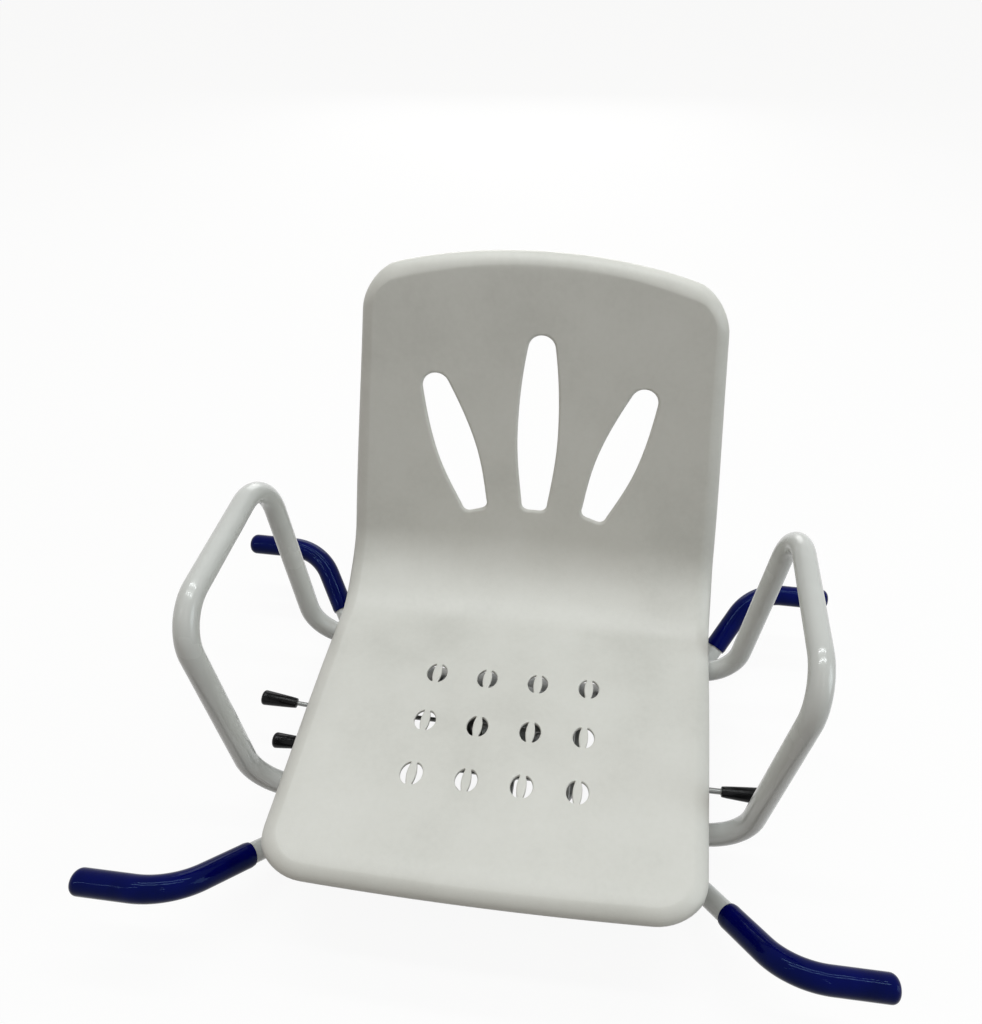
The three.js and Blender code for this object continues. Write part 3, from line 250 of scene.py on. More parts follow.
def softened(profile, radius, closed=False, steps=4):
    """Rounds the corners of a flat line. An open one keeps its two ends."""
    result = []
    for k, point in enumerate(profile):
        if not closed and k in (0, len(profile) - 1):
            result.append(tuple(point))
            continue
        here = Vector(point)
        before, after = Vector(profile[k - 1]) - here, Vector(profile[(k + 1) % len(profile)]) - here
        reach = min(radius, before.length * CORNER_SHARE, after.length * CORNER_SHARE)
        start, end = here + before.normalized() * reach, here + after.normalized() * reach
        result += corner_curve(start, here, end, [i / steps for i in range(steps + 1)])
    return result


def rounded_box_outline(half_x, half_y, corner, steps=8):
    outline = []
    for k, (sx, sy) in enumerate(((1, 1), (-1, 1), (-1, -1), (1, -1))):
        centre = (sx * (half_x - corner), sy * (half_y - corner))
        outline += arc_points(centre, corner, 90 * k, 90 * k + 90, steps)
    return outline


def bezier(start, low, high, end, steps):
    """Points of a curve with two handles, without its end."""
    points = []
    for t in (k / steps for k in range(steps)):
        shares = ((1 - t) ** 3, 3 * t * (1 - t) ** 2, 3 * t * t * (1 - t), t ** 3)
        points.append(tuple(sum(s * p[i] for s, p in zip(shares, (start, low, high, end))) for i in (0, 1)))
    return points


def inside(point, loop):
    x, y = point
    odd = False
    for k, (x1, y1) in enumerate(loop):
        x0, y0 = loop[k - 1]
        if (y0 > y) != (y1 > y) and x < x0 + (y - y0) * (x1 - x0) / (y1 - y0):
            odd = not odd
    return odd


# Forms. A form is (points, faces) in millimetres.

MERGE = 0.001


def as_mesh(name, form):
    """A form as a mesh, its doubles merged and its faces outwards."""
    points, faces = form
    mesh = bpy.data.meshes.new(name)
    mesh.from_pydata([tuple(p) for p in points], [], faces)
    build = bmesh.new()
    build.from_mesh(mesh)
    bmesh.ops.remove_doubles(build, verts=build.verts, dist=MERGE)
    if build.calc_volume(signed=True) < 0:
        bmesh.ops.reverse_faces(build, faces=build.faces)
    build.to_mesh(mesh)
    build.free()
    return mesh


def mesh_form(mesh):
    return [v.co.copy() for v in mesh.vertices], [list(p.vertices) for p in mesh.polygons]


def rings_form(rings, closed=False):
    """Joins rings of equal length. A ring of one point is a pole."""
    starts = [0]
    for ring in rings:
        starts.append(starts[-1] + len(ring))
    faces = []
    for a in range(len(rings) if closed else len(rings) - 1):
        b = (a + 1) % len(rings)
        count_a, count_b = len(rings[a]), len(rings[b])
        count = max(count_a, count_b)
        for k in range(count):
            n = (k + 1) % count
            lower = (starts[a] + k % count_a, starts[a] + n % count_a)
            upper = (starts[b] + n % count_b, starts[b] + k % count_b)
            faces.append(list(dict.fromkeys(lower + upper)))
    return [point for ring in rings for point in ring], faces


def turned(profile, sides=48, closed=False):
    """A turned piece about Z from (radius, z) points."""
    turns = [2 * math.pi * k / sides for k in range(sides)]
    rings = []
    for radius, z in profile:
        angles = turns if radius else turns[:1]
        rings.append([Vector((radius * math.cos(a), radius * math.sin(a), z)) for a in angles])
    return rings_form(rings, closed)


def rod_form(radius, low, high, sides, edge=0.0):
    """A round rod along Z."""
    profile = [(0, low), (radius, low), (radius, high), (0, high)]
    return turned(softened(profile, edge) if edge else profile, sides)


def ring_form(inner, outer, low, high, edge, sides=48):
    """A ring, washer or tube along Z."""
    profile = [(inner, low), (outer, low), (outer, high), (inner, high)]
    return turned(softened(profile, edge, closed=True), sides, closed=True)


def with_edges(loops):
    """The points of closed flat loops, and the edges between them."""
    flat, edges = [], []
    for loop in loops:
        start = len(flat)
        flat += [Vector(p) for p in loop]
        edges += [(start + k, start + (k + 1) % len(loop)) for k in range(len(loop))]
    return flat, edges


def middle_of(points, face):
    return sum((points[v] for v in face), Vector((0, 0))) / len(face)


def extruded(outline, depth, holes=()):
    """A flat outline with holes, given a depth along Z."""
    loops = [outline, *holes]
    found = delaunay_2d_cdt(*with_edges(loops), [], 1, 1e-5)
    caps = []
    for face in found[2]:
        middle = middle_of(found[0], face)
        if not any(inside(middle, hole) for hole in holes):
            caps.append(face)
    count = len(found[0])
    points = [Vector((p.x, p.y, z)) for z in (0, depth) for p in found[0]]
    faces = [list(f)[::-1] for f in caps] + [[count + v for v in f] for f in caps]
    for loop in loops:
        start, n = len(points), len(loop)
        points += [Vector((*p, z)) for z in (0, depth) for p in loop]
        area = sum(loop[k - 1][0] * loop[k][1] - loop[k][0] * loop[k - 1][1] for k in range(n))
        for k in range(n):
            m = (k + 1) % n
            face = [start + k, start + m, start + n + m, start + n + k]
            inward = (loop is not outline) == (area > 0)
            faces.append(face[::-1] if inward else face)
    return points, faces


def block(low, high):
    (x0, y0, z0), (x1, y1, z1) = low, high
    points = [Vector((x, y, z)) for z in (z0, z1) for x, y in ((x0, y0), (x1, y0), (x1, y1), (x0, y1))]
    return points, [[3, 2, 1, 0], [4, 5, 6, 7], [0, 1, 5, 4], [1, 2, 6, 5], [2, 3, 7, 6], [3, 0, 4, 7]]


ALONG_X = Matrix.Rotation(math.radians(90), 4, "Y")
# Stands an outline drawn in (x, y) up in the YZ plane, with its depth along X
UPRIGHT = Matrix(((0, 0, 1, 0), (1, 0, 0, 0), (0, 1, 0, 0), (0, 0, 0, 1)))


def moved(form, matrix):
    points, faces = form
    return [matrix @ Vector(p) for p in points], faces


def shifted(form, x=0.0, y=0.0, z=0.0):
    return moved(form, Matrix.Translation((x, y, z)))


def spun(form, degrees, axis):
    return moved(form, Matrix.Rotation(math.radians(degrees), 4, axis))


def loose_object(name, mesh):
    obj = bpy.data.objects.new(name, mesh)
    scene.collection.objects.link(obj)
    return obj


def made_plain(obj, name):
    """The evaluated object as a plain mesh. The object and its modifiers go."""
    bpy.context.view_layer.update()
    evaluated = obj.evaluated_get(bpy.context.evaluated_depsgraph_get())
    mesh = bpy.data.meshes.new_from_object(evaluated)
    mesh.name = name
    bpy.data.objects.remove(obj)
    return mesh


def combined(operation, first, others):
    body = loose_object("body", as_mesh("body", first))
    tools = [loose_object("tool", as_mesh("tool", form)) for form in others]
    for tool in tools:
        modifier = body.modifiers.new("tool", "BOOLEAN")
        modifier.operation = operation
        modifier.solver = "EXACT"
        modifier.object = tool
    mesh = made_plain(body, "combined")
    for tool in tools:
        bpy.data.objects.remove(tool)
    return mesh_form(mesh)


def cut(form, *cutters):
    return combined("DIFFERENCE", form, cutters)


def joined(form, *others):
    return combined("UNION", form, others)


def shared(form, *others):
    return combined("INTERSECT", form, others)


def bevelled(form, width, segments=2):
    """Breaks the sharp edges of a form."""
    mesh = as_mesh("bevelled", form)
    build = bmesh.new()
    build.from_mesh(mesh)
    bmesh.ops.dissolve_limit(build, angle_limit=math.radians(1), verts=build.verts, edges=build.edges)
    sharp = [e for e in build.edges if e.is_manifold and e.calc_face_angle(0) > math.radians(38)]
    bmesh.ops.bevel(build, geom=sharp, offset=width, segments=segments, affect="EDGES", profile=0.6,
                    clamp_overlap=True)
    bmesh.ops.triangulate(build, faces=build.faces)
    build.to_mesh(mesh)
    build.free()
    return mesh_form(mesh)


def piece(name, shape, finish, body, *nodes, smooth=34):
    """Puts a form or mesh, in millimetres, in its place and gives it its finish and its body."""
    mesh = shape if isinstance(shape, bpy.types.Mesh) else as_mesh(name, shape)
    mesh.transform(to_row)
    mesh.materials.clear()
    mesh.materials.append(finish.material)
    mesh.polygons.foreach_set("material_index", [0] * len(mesh.polygons))
    mesh.shade_smooth()
    mesh.set_sharp_from_angle(angle=math.radians(smooth))
    obj = loose_object(name, mesh)
    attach(obj, body)
    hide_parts(*nodes)
    return obj


# Geometry node trees

def new_tree(name, **sizes):
    """A modifier's tree, the identifiers of its inputs, and its input sockets. A size is (kind, value)."""
    tree = bpy.data.node_groups.new(name, "GeometryNodeTree")
    tree.is_modifier = True
    tree.interface.new_socket("Geometry", in_out="OUTPUT", socket_type="NodeSocketGeometry")
    identifiers = {}
    inputs = {"Geometry": ("Geometry", None), "Material": ("Material", None), **sizes}
    for key, (kind, value) in inputs.items():
        label = key.replace("_", " ")
        socket = tree.interface.new_socket(label, in_out="INPUT", socket_type="NodeSocket" + kind)
        if value is not None:
            socket.default_value = value
        identifiers[key] = socket.identifier
    return tree, identifiers, tree.nodes.new("NodeGroupInput").outputs


def close_tree(tree, geometry, source):
    """Every tree ends in real meshes that carry their finish."""
    real = add_node(tree, "GeometryNodeRealizeInstances", geometry)
    coated = add_node(tree, "GeometryNodeSetMaterial", real, Material=source["Material"])
    tree.links.new(coated, tree.nodes.new("NodeGroupOutput").inputs[0])


def bent_tube_tree():
    """Sweeps a round section along the host's line of points, its size at each one scaled by swell."""
    tree, identifiers, source = new_tree(
        "bent tube", Tube_radius=("Float", 11.1), Sides=("Int", 40), Closed_ends=("Bool", False))
    line = add_node(tree, "GeometryNodeMeshToCurve", source["Geometry"])
    swell = add_node(tree, "GeometryNodeInputNamedAttribute", "swell", data_type="FLOAT")
    section = add_node(tree, "GeometryNodeCurvePrimitiveCircle", Resolution=source["Sides"],
                       Radius=source["Tube radius"])
    swept = add_node(tree, "GeometryNodeCurveToMesh", line, section, swell, source["Closed ends"])
    clean = add_node(tree, "GeometryNodeMergeByDistance", swept, Distance=0.002)
    close_tree(tree, clean, source)
    return tree, identifiers


def fastener_tree():
    """Sets one fastener on each of the host's points, turned by its turn attribute."""
    tree, identifiers, source = new_tree("fasteners", Fastener=("Object", None))
    model = add_node(tree, "GeometryNodeObjectInfo", source["Fastener"])
    turn = add_node(tree, "GeometryNodeInputNamedAttribute", "turn", data_type="FLOAT_VECTOR")
    rotation = add_node(tree, "FunctionNodeEulerToRotation", turn)
    points = add_node(tree, "GeometryNodeMeshToPoints", source["Geometry"])
    placed = add_node(tree, "GeometryNodeInstanceOnPoints", points, Instance=model.node.outputs["Geometry"],
                      Rotation=rotation)
    close_tree(tree, placed, source)
    return tree, identifiers


def coil_spring_tree():
    """A coil spring that stands on its foot."""
    tree, identifiers, source = new_tree(
        "coil spring", Coil_radius=("Float", 5.3), Wire_radius=("Float", 0.6), Turns=("Float", 5.0),
        Height=("Float", 29.0), Foot=("Vector", (0, 0, 0)))
    line = add_node(tree, "GeometryNodeCurveSpiral", Resolution=36, Rotations=source["Turns"],
                    Start_Radius=source["Coil radius"], End_Radius=source["Coil radius"],
                    Height=source["Height"])
    section = add_node(tree, "GeometryNodeCurvePrimitiveCircle", Resolution=14, Radius=source["Wire radius"])
    wire = add_node(tree, "GeometryNodeCurveToMesh", line, section, Fill_Caps=True)
    stood = add_node(tree, "GeometryNodeTransform", wire, Translation=source["Foot"])
    close_tree(tree, stood, source)
    return tree, identifiers


BENT_TUBE = bent_tube_tree()
FASTENERS = fastener_tree()
COIL_SPRING = coil_spring_tree()


def grown(host, tree_and_inputs, name, wall=0.0, **values):
    """Runs a node tree on a host object and returns the result as a plain mesh."""
    tree, identifiers = tree_and_inputs
    modifier = host.modifiers.new(tree.name, "NODES")
    modifier.node_group = tree
    for key, value in values.items():
        modifier[identifiers[key]] = value
    if wall:
        solid = host.modifiers.new("wall", "SOLIDIFY")
        solid.thickness = wall
        solid.offset = -1
        solid.use_even_offset = True
    return made_plain(host, name)


# Bent tubes: a line of points, each with the swell that scales the section there

def bent_line(corners, bend_step=3.0):
    """Corners are (point, bend radius). The two ends have no radius."""
    points = [Vector(point) for point, _ in corners]
    line = [points[0]]
    for before, here, after, (_, radius) in zip(points, points[1:], points[2:], corners[1:]):
        inward, outward = (here - before).normalized(), (after - here).normalized()
        turn = inward.angle(outward)
        start = here - inward * (radius * math.tan(turn / 2))
        normal = (outward - inward * math.cos(turn)).normalized()
        steps = max(2, math.ceil(math.degrees(turn) / bend_step))
        for angle in (turn * i / steps for i in range(steps + 1)):
            ahead, aside = radius * math.sin(angle), radius * (1 - math.cos(angle))
            line.append(start + inward * ahead + normal * aside)
    return [*line, points[-1]]


def filled_in(line, longest):
    """Adds points so that no straight is longer than this."""
    result = [line[0]]
    for before, after in zip(line, line[1:]):
        steps = max(1, math.ceil((after - before).length / longest))
        result += [before.lerp(after, k / steps) for k in range(1, steps + 1)]
    return result


def tube_mesh(name, line, radius, wall, sides=40, swells=None, finish=POWDER_COAT):
    mesh = bpy.data.meshes.new(name)
    mesh.from_pydata([tuple(p) for p in line], [(k, k + 1) for k in range(len(line) - 1)], [])
    mesh.attributes.new("swell", "FLOAT", "POINT").data.foreach_set("value", swells or [1.0] * len(line))
    return grown(loose_object(name, mesh), BENT_TUBE, name, wall, Tube_radius=float(radius), Sides=sides,
                 Closed_ends=not wall, Material=finish.material)


# The seat shell. Its side profile is straights and arcs, measured along from its front edge.

PAN = Sizes(height=16.5, tilt=6.1, front=-209, fall_radius=60, fall_angle=35)
BACK = Sizes(crease=190.5, recline=15.7, length=407, crease_radius=90, roll_radius=80, roll_angle=18)
# The rim's handles are how far in from the rim the rolled edge's two handles lie, and how deep
SHELL = Sizes(wall=4, front_half=203.5, crease_half=219.5, top_half=190.5, pan_softness=110, back_softness=35,
              front_corner=50, top_corner=40, front_crown=6, top_crown=34, pan_dish=6, back_dish=12,
              rim_reach=17, rim_drop=13, rim_handles=((13, 0), (0, 5.5)), lip_depth=17)
# Edges are the radii above and below that round an opening's edge
HOLE = Sizes(width=22, length=26.6, bar_end=5.2, bar_middle=9.6, corner=1.7, pitch_x=57, pitch_y=65.1,
             middle=-24, steps=26, edges=(1.3, 0.8))
SLOT = Sizes(half=22.8, wide_share=0.46, foot_half=15.2, corner=10, flare=3.8, tip_radius=14.8, shoulder=10,
             middle_length=208.7, side_length=171.4, lean=17.2, foot_height=105.5, middle_raise=4.5,
             foot_out=70.3, steps=18, edges=(3.4, 0.5))
BOSS = Sizes(root=12.1, fillet=11.3, fillet_depth=0.7, neck=10.9, neck_depth=2, foot=9.4, face=8.9, edge=0.5,
             mouth=2.9, hole=2.7, mouth_depth=0.3, hole_depth=9.6, sides=36)
# The flat bands along an opening's edge, above and below
EDGE_BANDS = (1.0, 0.8)
RIM_PITCH, SKIN_PITCH, CORNER_STEPS = 6.0, 5.0, 12
# The skin's own points keep this far from the rim and the openings
SKIN_GAP = SKIN_PITCH * 0.55
# A loop that is moved outwards draws out a corner no further than at this cosine
SHARPEST = 0.6
Run = namedtuple("Run", "length turn y z angle start")


def smoothstep(value, low, high):
    t = min(1.0, max(0.0, (value - low) / (high - low)))
    return t * t * (3 - 2 * t)


def along_run(run, distance):
    angle = run.angle + run.turn * distance / run.length
    if run.turn == 0:
        return run.y + distance * math.cos(angle), run.z + distance * math.sin(angle), angle
    radius = run.length / run.turn
    return (run.y + radius * (math.sin(angle) - math.sin(run.angle)),
            run.z + radius * (math.cos(run.angle) - math.cos(angle)), angle)


def profile_runs():
    """The profile's runs, its whole length, and how far the crease's arc reaches from its corner."""
    pan_angle, back_angle = -math.radians(PAN.tilt), math.radians(90 - BACK.recline)
    fall_turn, roll_turn = math.radians(PAN.fall_angle), math.radians(BACK.roll_angle)
    crease_turn = back_angle - pan_angle
    crease_reach = BACK.crease_radius * math.tan(crease_turn / 2)
    angle = pan_angle + fall_turn
    pan_y = PAN.front + PAN.fall_radius * (math.sin(angle) - math.sin(pan_angle))
    pan_z = PAN.height + pan_y * math.tan(pan_angle)
    y, z = PAN.front, pan_z - PAN.fall_radius * (math.cos(pan_angle) - math.cos(angle))
    roll_length = BACK.roll_radius * roll_turn
    runs, start = [], 0.0
    for length, turn in (
        (PAN.fall_radius * fall_turn, -fall_turn),
        ((BACK.crease - pan_y) / math.cos(pan_angle) - crease_reach, 0.0),
        (BACK.crease_radius * crease_turn, crease_turn),
        (BACK.length - crease_reach - roll_length, 0.0),
        (roll_length, -roll_turn),
    ):
        runs.append(Run(length, turn, y, z, angle, start))
        y, z, angle = along_run(runs[-1], length)
        start += length
    return runs, start, crease_reach


RUNS, PROFILE_LENGTH, CREASE_REACH = profile_runs()
PAN_RUN, BACK_RUN = RUNS[1], RUNS[3]
CREASE_START = RUNS[2].start
CREASE_MIDDLE = CREASE_START + RUNS[2].length / 2


def profile_at(distance):
    run = next((r for r in RUNS if distance <= r.start + r.length), RUNS[-1])
    return along_run(run, distance - run.start)


def half_width_at(distance):
    ahead = distance < CREASE_MIDDLE
    softness = SHELL.pan_softness if ahead else SHELL.back_softness
    end_half = SHELL.front_half if ahead else SHELL.top_half
    reach = CREASE_MIDDLE if ahead else PROFILE_LENGTH - CREASE_MIDDLE
    here, whole = (math.hypot(offset, softness) - softness for offset in (distance - CREASE_MIDDLE, reach))
    return SHELL.crease_half + (end_half - SHELL.crease_half) * here / whole


def crown_at(distance, sideways):
    top = SHELL.top_crown * smoothstep(distance, BACK_RUN.start, PROFILE_LENGTH)
    front = SHELL.front_crown * (1 - smoothstep(distance, 0, CREASE_START))
    return (front - top) * (sideways / SHELL.crease_half) ** 2


def shell_point(distance, sideways, depth):
    """A point of the shell: how far along, how far sideways on the unrolled sheet, how deep."""
    across = sideways / SHELL.crease_half
    back_share = smoothstep(distance, CREASE_START, CREASE_MIDDLE)
    dish = (SHELL.pan_dish + (SHELL.back_dish - SHELL.pan_dish) * back_share) * across ** 2
    lift = dish * smoothstep(distance, 0, CREASE_START) - depth
    y, z, angle = profile_at(distance + crown_at(distance, sideways))
    return Vector((across * half_width_at(distance), y - lift * math.sin(angle), z + lift * math.cos(angle)))


def on_sheet(x, along):
    """The place on the unrolled sheet of a point seen square on at x, that far along the profile."""
    distance, sideways = along, x
    for _ in range(6):
        sideways = x * SHELL.crease_half / half_width_at(distance)
        distance = along - crown_at(distance, sideways)
    return sideways, distance


def opening_loop(outline, distance, sideways):
    """An opening's outline, drawn square on from its place on the shell, laid on the unrolled sheet."""
    x = sideways / SHELL.crease_half * half_width_at(distance)
    along = distance + crown_at(distance, sideways)
    return [on_sheet(x + u, along + v) for u, v in outline]


def rounded_corners(points, corners, reach):
    """Rounds the named corners of a closed line of close points, back to this distance on each side."""
    line = [Vector(p) for p in points]
    kept = [[p] for p in points]
    count = len(line)
    for corner in corners:
        ends = []
        for way in (-1, 1):
            k, run = corner, 0.0
            while run < reach:
                run += (line[(k + way) % count] - line[k % count]).length
                k += way
            ends.append(k)
        for k in range(ends[0] + 1, ends[1]):
            kept[k % count] = []
        before, after = (line[k % count] for k in ends)
        kept[corner] = corner_curve(before, line[corner], after, [i / 7 for i in range(1, 7)])
    return [p for some in kept for p in some]


def drain_outline(side):
    """One of the two openings of a drain hole: the oval edge outside, the bulging bar inside."""
    end_angle = math.acos(HOLE.bar_end / HOLE.width)
    tip = HOLE.length / 2 * math.sin(end_angle)
    outline = []
    for angle in (end_angle * (2 * k / HOLE.steps - 1) for k in range(HOLE.steps + 1)):
        outline.append((HOLE.width / 2 * math.cos(angle), HOLE.length / 2 * math.sin(angle)))
    for share in (1 - 2 * k / HOLE.steps for k in range(1, HOLE.steps)):
        half_bar = (HOLE.bar_end + (HOLE.bar_middle - HOLE.bar_end) * (1 - share ** 2)) / 2
        outline.append((half_bar, tip * share))
    outline = rounded_corners(outline, (0, HOLE.steps), HOLE.corner)
    return outline if side > 0 else [(-x, y) for x, y in reversed(outline)]


def slot_outline(length):
    """A slot of the back: a petal with a flat foot, widest near its middle, with a round tip."""
    half, foot, corner = SLOT.half, SLOT.foot_half, SLOT.corner
    tip_arc = arc_points((0, length - SLOT.tip_radius), SLOT.tip_radius, SLOT.shoulder, 90, 10)
    tip, lean = tip_arc[0], math.radians(SLOT.shoulder)
    wide_y = length * SLOT.wide_share
    low_reach, high_reach = (wide_y - corner) / 3, (tip[1] - wide_y) / 3
    tip_handle = (tip[0] + high_reach * math.sin(lean), tip[1] - high_reach * math.cos(lean))
    right = bezier((foot - corner, 0), (foot - corner / 3, 0), (foot, corner / 3), (foot, corner), 8)
    right += bezier((foot, corner), (foot + SLOT.flare, corner + low_reach), (half, wide_y - low_reach),
                    (half, wide_y), SLOT.steps)
    right += bezier((half, wide_y), (half, wide_y + high_reach), tip_handle, tip, SLOT.steps) + tip_arc
    left = [(-x, y) for x, y in reversed(right[:-1])]
    foot_line = [((foot - corner) * share, 0) for share in (-0.5, 0, 0.5)]
    return right + left + foot_line


def openings():
    """Every opening as (closed loop on the unrolled sheet, its two edge radii)."""
    middle = PAN_RUN.start + (HOLE.middle - PAN_RUN.y) / math.cos(PAN_RUN.angle)
    foot = BACK_RUN.start + SLOT.foot_height - CREASE_REACH
    found = [
        (opening_loop(drain_outline(side), middle + row * HOLE.pitch_y, column * HOLE.pitch_x), HOLE.edges)
        for row in (-1, 0, 1) for column in (-1.5, -0.5, 0.5, 1.5) for side in (-1, 1)
    ]
    found.append((opening_loop(slot_outline(SLOT.middle_length), foot + SLOT.middle_raise, 0), SLOT.edges))
    for side in (-1, 1):
        turn = Matrix.Rotation(-side * math.radians(SLOT.lean), 2)
        leaning = [tuple(turn @ Vector(p)) for p in slot_outline(SLOT.side_length)]
        found.append((opening_loop(leaning, foot, side * SLOT.foot_out), SLOT.edges))
    return found


def grown_loop(loop, by):
    """A loop that runs anticlockwise, moved outwards."""
    result = []
    for k in range(len(loop)):
        before, here, after = (Vector(loop[(k + i) % len(loop)]) for i in (-1, 0, 1))
        first, second = (here - before).normalized(), (after - here).normalized()
        normal = Vector((first.y + second.y, -first.x - second.x)).normalized()
        cosine = max(SHARPEST, normal.dot(Vector((second.y, -second.x))))
        result.append(tuple(here + normal * (by / cosine)))
    return result


def half_outline(inset):
    """The right half of the shell's outline on the unrolled sheet, from front to top."""
    half = SHELL.crease_half
    corners = []
    for corner, middle, way in ((SHELL.front_corner, SHELL.front_corner, -1),
                                (SHELL.top_corner, PROFILE_LENGTH - SHELL.top_corner, 1)):
        radius = corner - inset
        angles = [math.pi / 2 * k / CORNER_STEPS for k in range(CORNER_STEPS)]
        corners.append([(half - corner + radius * math.sin(a), middle + way * radius * math.cos(a))
                        for a in angles])
    low, high = SHELL.front_corner, PROFILE_LENGTH - SHELL.top_corner
    rows = round((high - low) / RIM_PITCH)
    side = [(half - inset, low + (high - low) * k / rows) for k in range(rows + 1)]
    return corners[0] + side + corners[1][::-1]


def rim_loop(inset):
    """Once round the shell on the unrolled sheet, anticlockwise, as (sideways, distance)."""
    right = half_outline(inset)
    loop = []
    for end, way in ((right[0], 1), (right[-1], -1)):
        columns = round(2 * end[0] / RIM_PITCH)
        loop += [(way * end[0] * (2 * k / columns - 1), end[1]) for k in range(1, columns)]
        loop += right if way > 0 else [(-x, d) for x, d in reversed(right)]
    return loop


class Sheet:
    """Gathers the points and faces of the shell from loops on the unrolled sheet."""

    def __init__(self):
        self.points = []
        self.faces = []

    def free_ring(self, points):
        self.points += points
        return list(range(len(self.points) - len(points), len(self.points)))

    def ring(self, loop, depth):
        return self.free_ring([shell_point(distance, sideways, depth) for sideways, distance in loop])

    def strip(self, outer, inner, flip=False):
        """Quads between two rings of anticlockwise points, the outer one first."""
        for k in range(len(outer)):
            face = [outer[k - 1], outer[k], inner[k], inner[k - 1]]
            self.faces.append(face[::-1] if flip else face)

    def skin(self, rim, rim_ids, holes, depth, flip):
        """Fills between the rim and the holes, each a loop with its point numbers."""
        flat, edges = with_edges([rim, *(loop for loop, _ in holes)])
        numbers = [*rim_ids, *(number for _, ids in holes for number in ids)]
        near = KDTree(len(flat))
        for k, point in enumerate(flat):
            near.insert((point.x, point.y, 0), k)
        near.balance()
        boxes = [(loop, *(f(p[i] for p in loop) for i in (0, 1) for f in (min, max))) for loop, _ in holes]

        def in_hole(x, y):
            return any(x0 < x < x1 and y0 < y < y1 and inside((x, y), loop) for loop, x0, x1, y0, y1 in boxes)

        columns, rows = (round(length / SKIN_PITCH) for length in (2 * SHELL.crease_half, PROFILE_LENGTH))
        for i in range(1, columns):
            for j in range(1, rows):
                x, y = SHELL.crease_half * (2 * i / columns - 1), PROFILE_LENGTH * j / rows
                if near.find((x, y, 0))[2] < SKIN_GAP or in_hole(x, y) or not inside((x, y), rim):
                    continue
                flat.append(Vector((x, y)))
                numbers += self.ring([(x, y)], depth)
        found = delaunay_2d_cdt(flat, edges, [], 1, 1e-6)
        if len(found[0]) != len(flat):
            raise ValueError("the shell's loops cross")
        ids = [numbers[origin[0]] for origin in found[3]]
        for face in found[2]:
            if not in_hole(*middle_of(found[0], face)):
                corners = [ids[v] for v in face]
                self.faces.append(corners[::-1] if flip else corners)


def rim_section():
    """Across the rim as (inset, depth): the outer roll, the lip with its round edge, the inner roll back."""
    wall, end = SHELL.wall, (0, SHELL.rim_drop)
    outer = [Vector(p) for p in [*bezier((SHELL.rim_reach, 0), *SHELL.rim_handles, end, 14), end]]
    inner = [outer[0] + Vector((0, wall))]
    for before, here, after in zip(outer, outer[1:], outer[2:]):
        run = (after - before).normalized()
        inner.append(here + Vector((run.y, -run.x)) * wall)
    inner.append(outer[-1] + Vector((wall, 0)))
    half, turns = wall / 2, [math.pi * k / 6 for k in range(7)]
    tip = [(half - half * math.cos(a), SHELL.lip_depth - half + half * math.sin(a)) for a in turns]
    return [tuple(p) for p in outer] + tip + [tuple(p) for p in reversed(inner)]


def opening_section(top, bottom):
    """Across an opening's edge as (distance out from the opening, depth)."""
    high_turns = [math.pi / 2 * k / 7 for k in range(1, 8)]
    low_turns = [math.pi / 2 * k / 3 for k in range(4)]
    upper = [(top * (1 - math.sin(a)), top * (1 - math.cos(a))) for a in high_turns]
    lower = [(bottom * (1 - math.cos(a)), SHELL.wall - bottom * (1 - math.sin(a))) for a in low_turns]
    return [(top + EDGE_BANDS[0], 0), (top, 0), *upper, *lower, (bottom + EDGE_BANDS[1], SHELL.wall)]


def boss(sheet, x, y):
    """A boss under the pan, over one end of a socket tube, with a blind hole for its screw."""
    along = PAN_RUN.start + (y - PAN_RUN.y) / math.cos(PAN_RUN.angle)
    sideways, distance = on_sheet(x, along)
    top = shell_point(distance, sideways, SHELL.wall).z
    root, fillet = ([on_sheet(x + u, along + v) for u, v in circle(radius, sides=BOSS.sides)]
                    for radius in (BOSS.root, BOSS.fillet))
    rings = [sheet.ring(root, SHELL.wall), sheet.ring(fillet, SHELL.wall + BOSS.fillet_depth)]
    for radius, z in (
        (BOSS.neck, top - BOSS.neck_depth), (BOSS.foot, SOCKET_TOP_Z + BOSS.edge), (BOSS.face, SOCKET_TOP_Z),
        (BOSS.mouth, SOCKET_TOP_Z), (BOSS.hole, SOCKET_TOP_Z + BOSS.mouth_depth),
        (BOSS.hole, SOCKET_TOP_Z + BOSS.hole_depth),
    ):
        rings.append(sheet.free_ring([Vector((u, v, z)) for u, v in circle(radius, x, y, BOSS.sides)]))
    for before, after in zip(rings, rings[1:]):
        sheet.strip(before, after, flip=True)
    sheet.faces.append(rings[-1][::-1])
    return root, rings[0]


def build_shell():
    sheet = Sheet()
    section = rim_section()
    rim_loops = [rim_loop(inset) for inset, _ in section]
    rim_rings = [sheet.ring(loop, depth) for loop, (_, depth) in zip(rim_loops, section)]
    for before, after in zip(rim_rings, rim_rings[1:]):
        sheet.strip(after, before)
    above, below = [], []
    for opening, radii in openings():
        across = opening_section(*radii)
        loops = [grown_loop(opening, by) for by, _ in across]
        rings = [sheet.ring(loop, depth) for loop, (_, depth) in zip(loops, across)]
        for before, after in zip(rings, rings[1:]):
            sheet.strip(before, after)
        above.append((loops[0], rings[0]))
        below.append((loops[-1], rings[-1]))
    for _, across in SIDES:
        for _, y in ARMREST_ROWS:
            below.append(boss(sheet, across * SHELL_SCREW.out, y))
    sheet.skin(rim_loops[0], rim_rings[0], above, 0, False)
    sheet.skin(rim_loops[0], rim_rings[-1], below, SHELL.wall, True)
    piece("moulded_seat", (sheet.points, sheet.faces), SHELL_PLASTIC, "seat", "seat_shell", smooth=50)


# Tubes, rails and sleeves

# The longest straight in a tube's line, and in a sleeve's
TUBE_STEP, SLEEVE_STEP = 25, 4


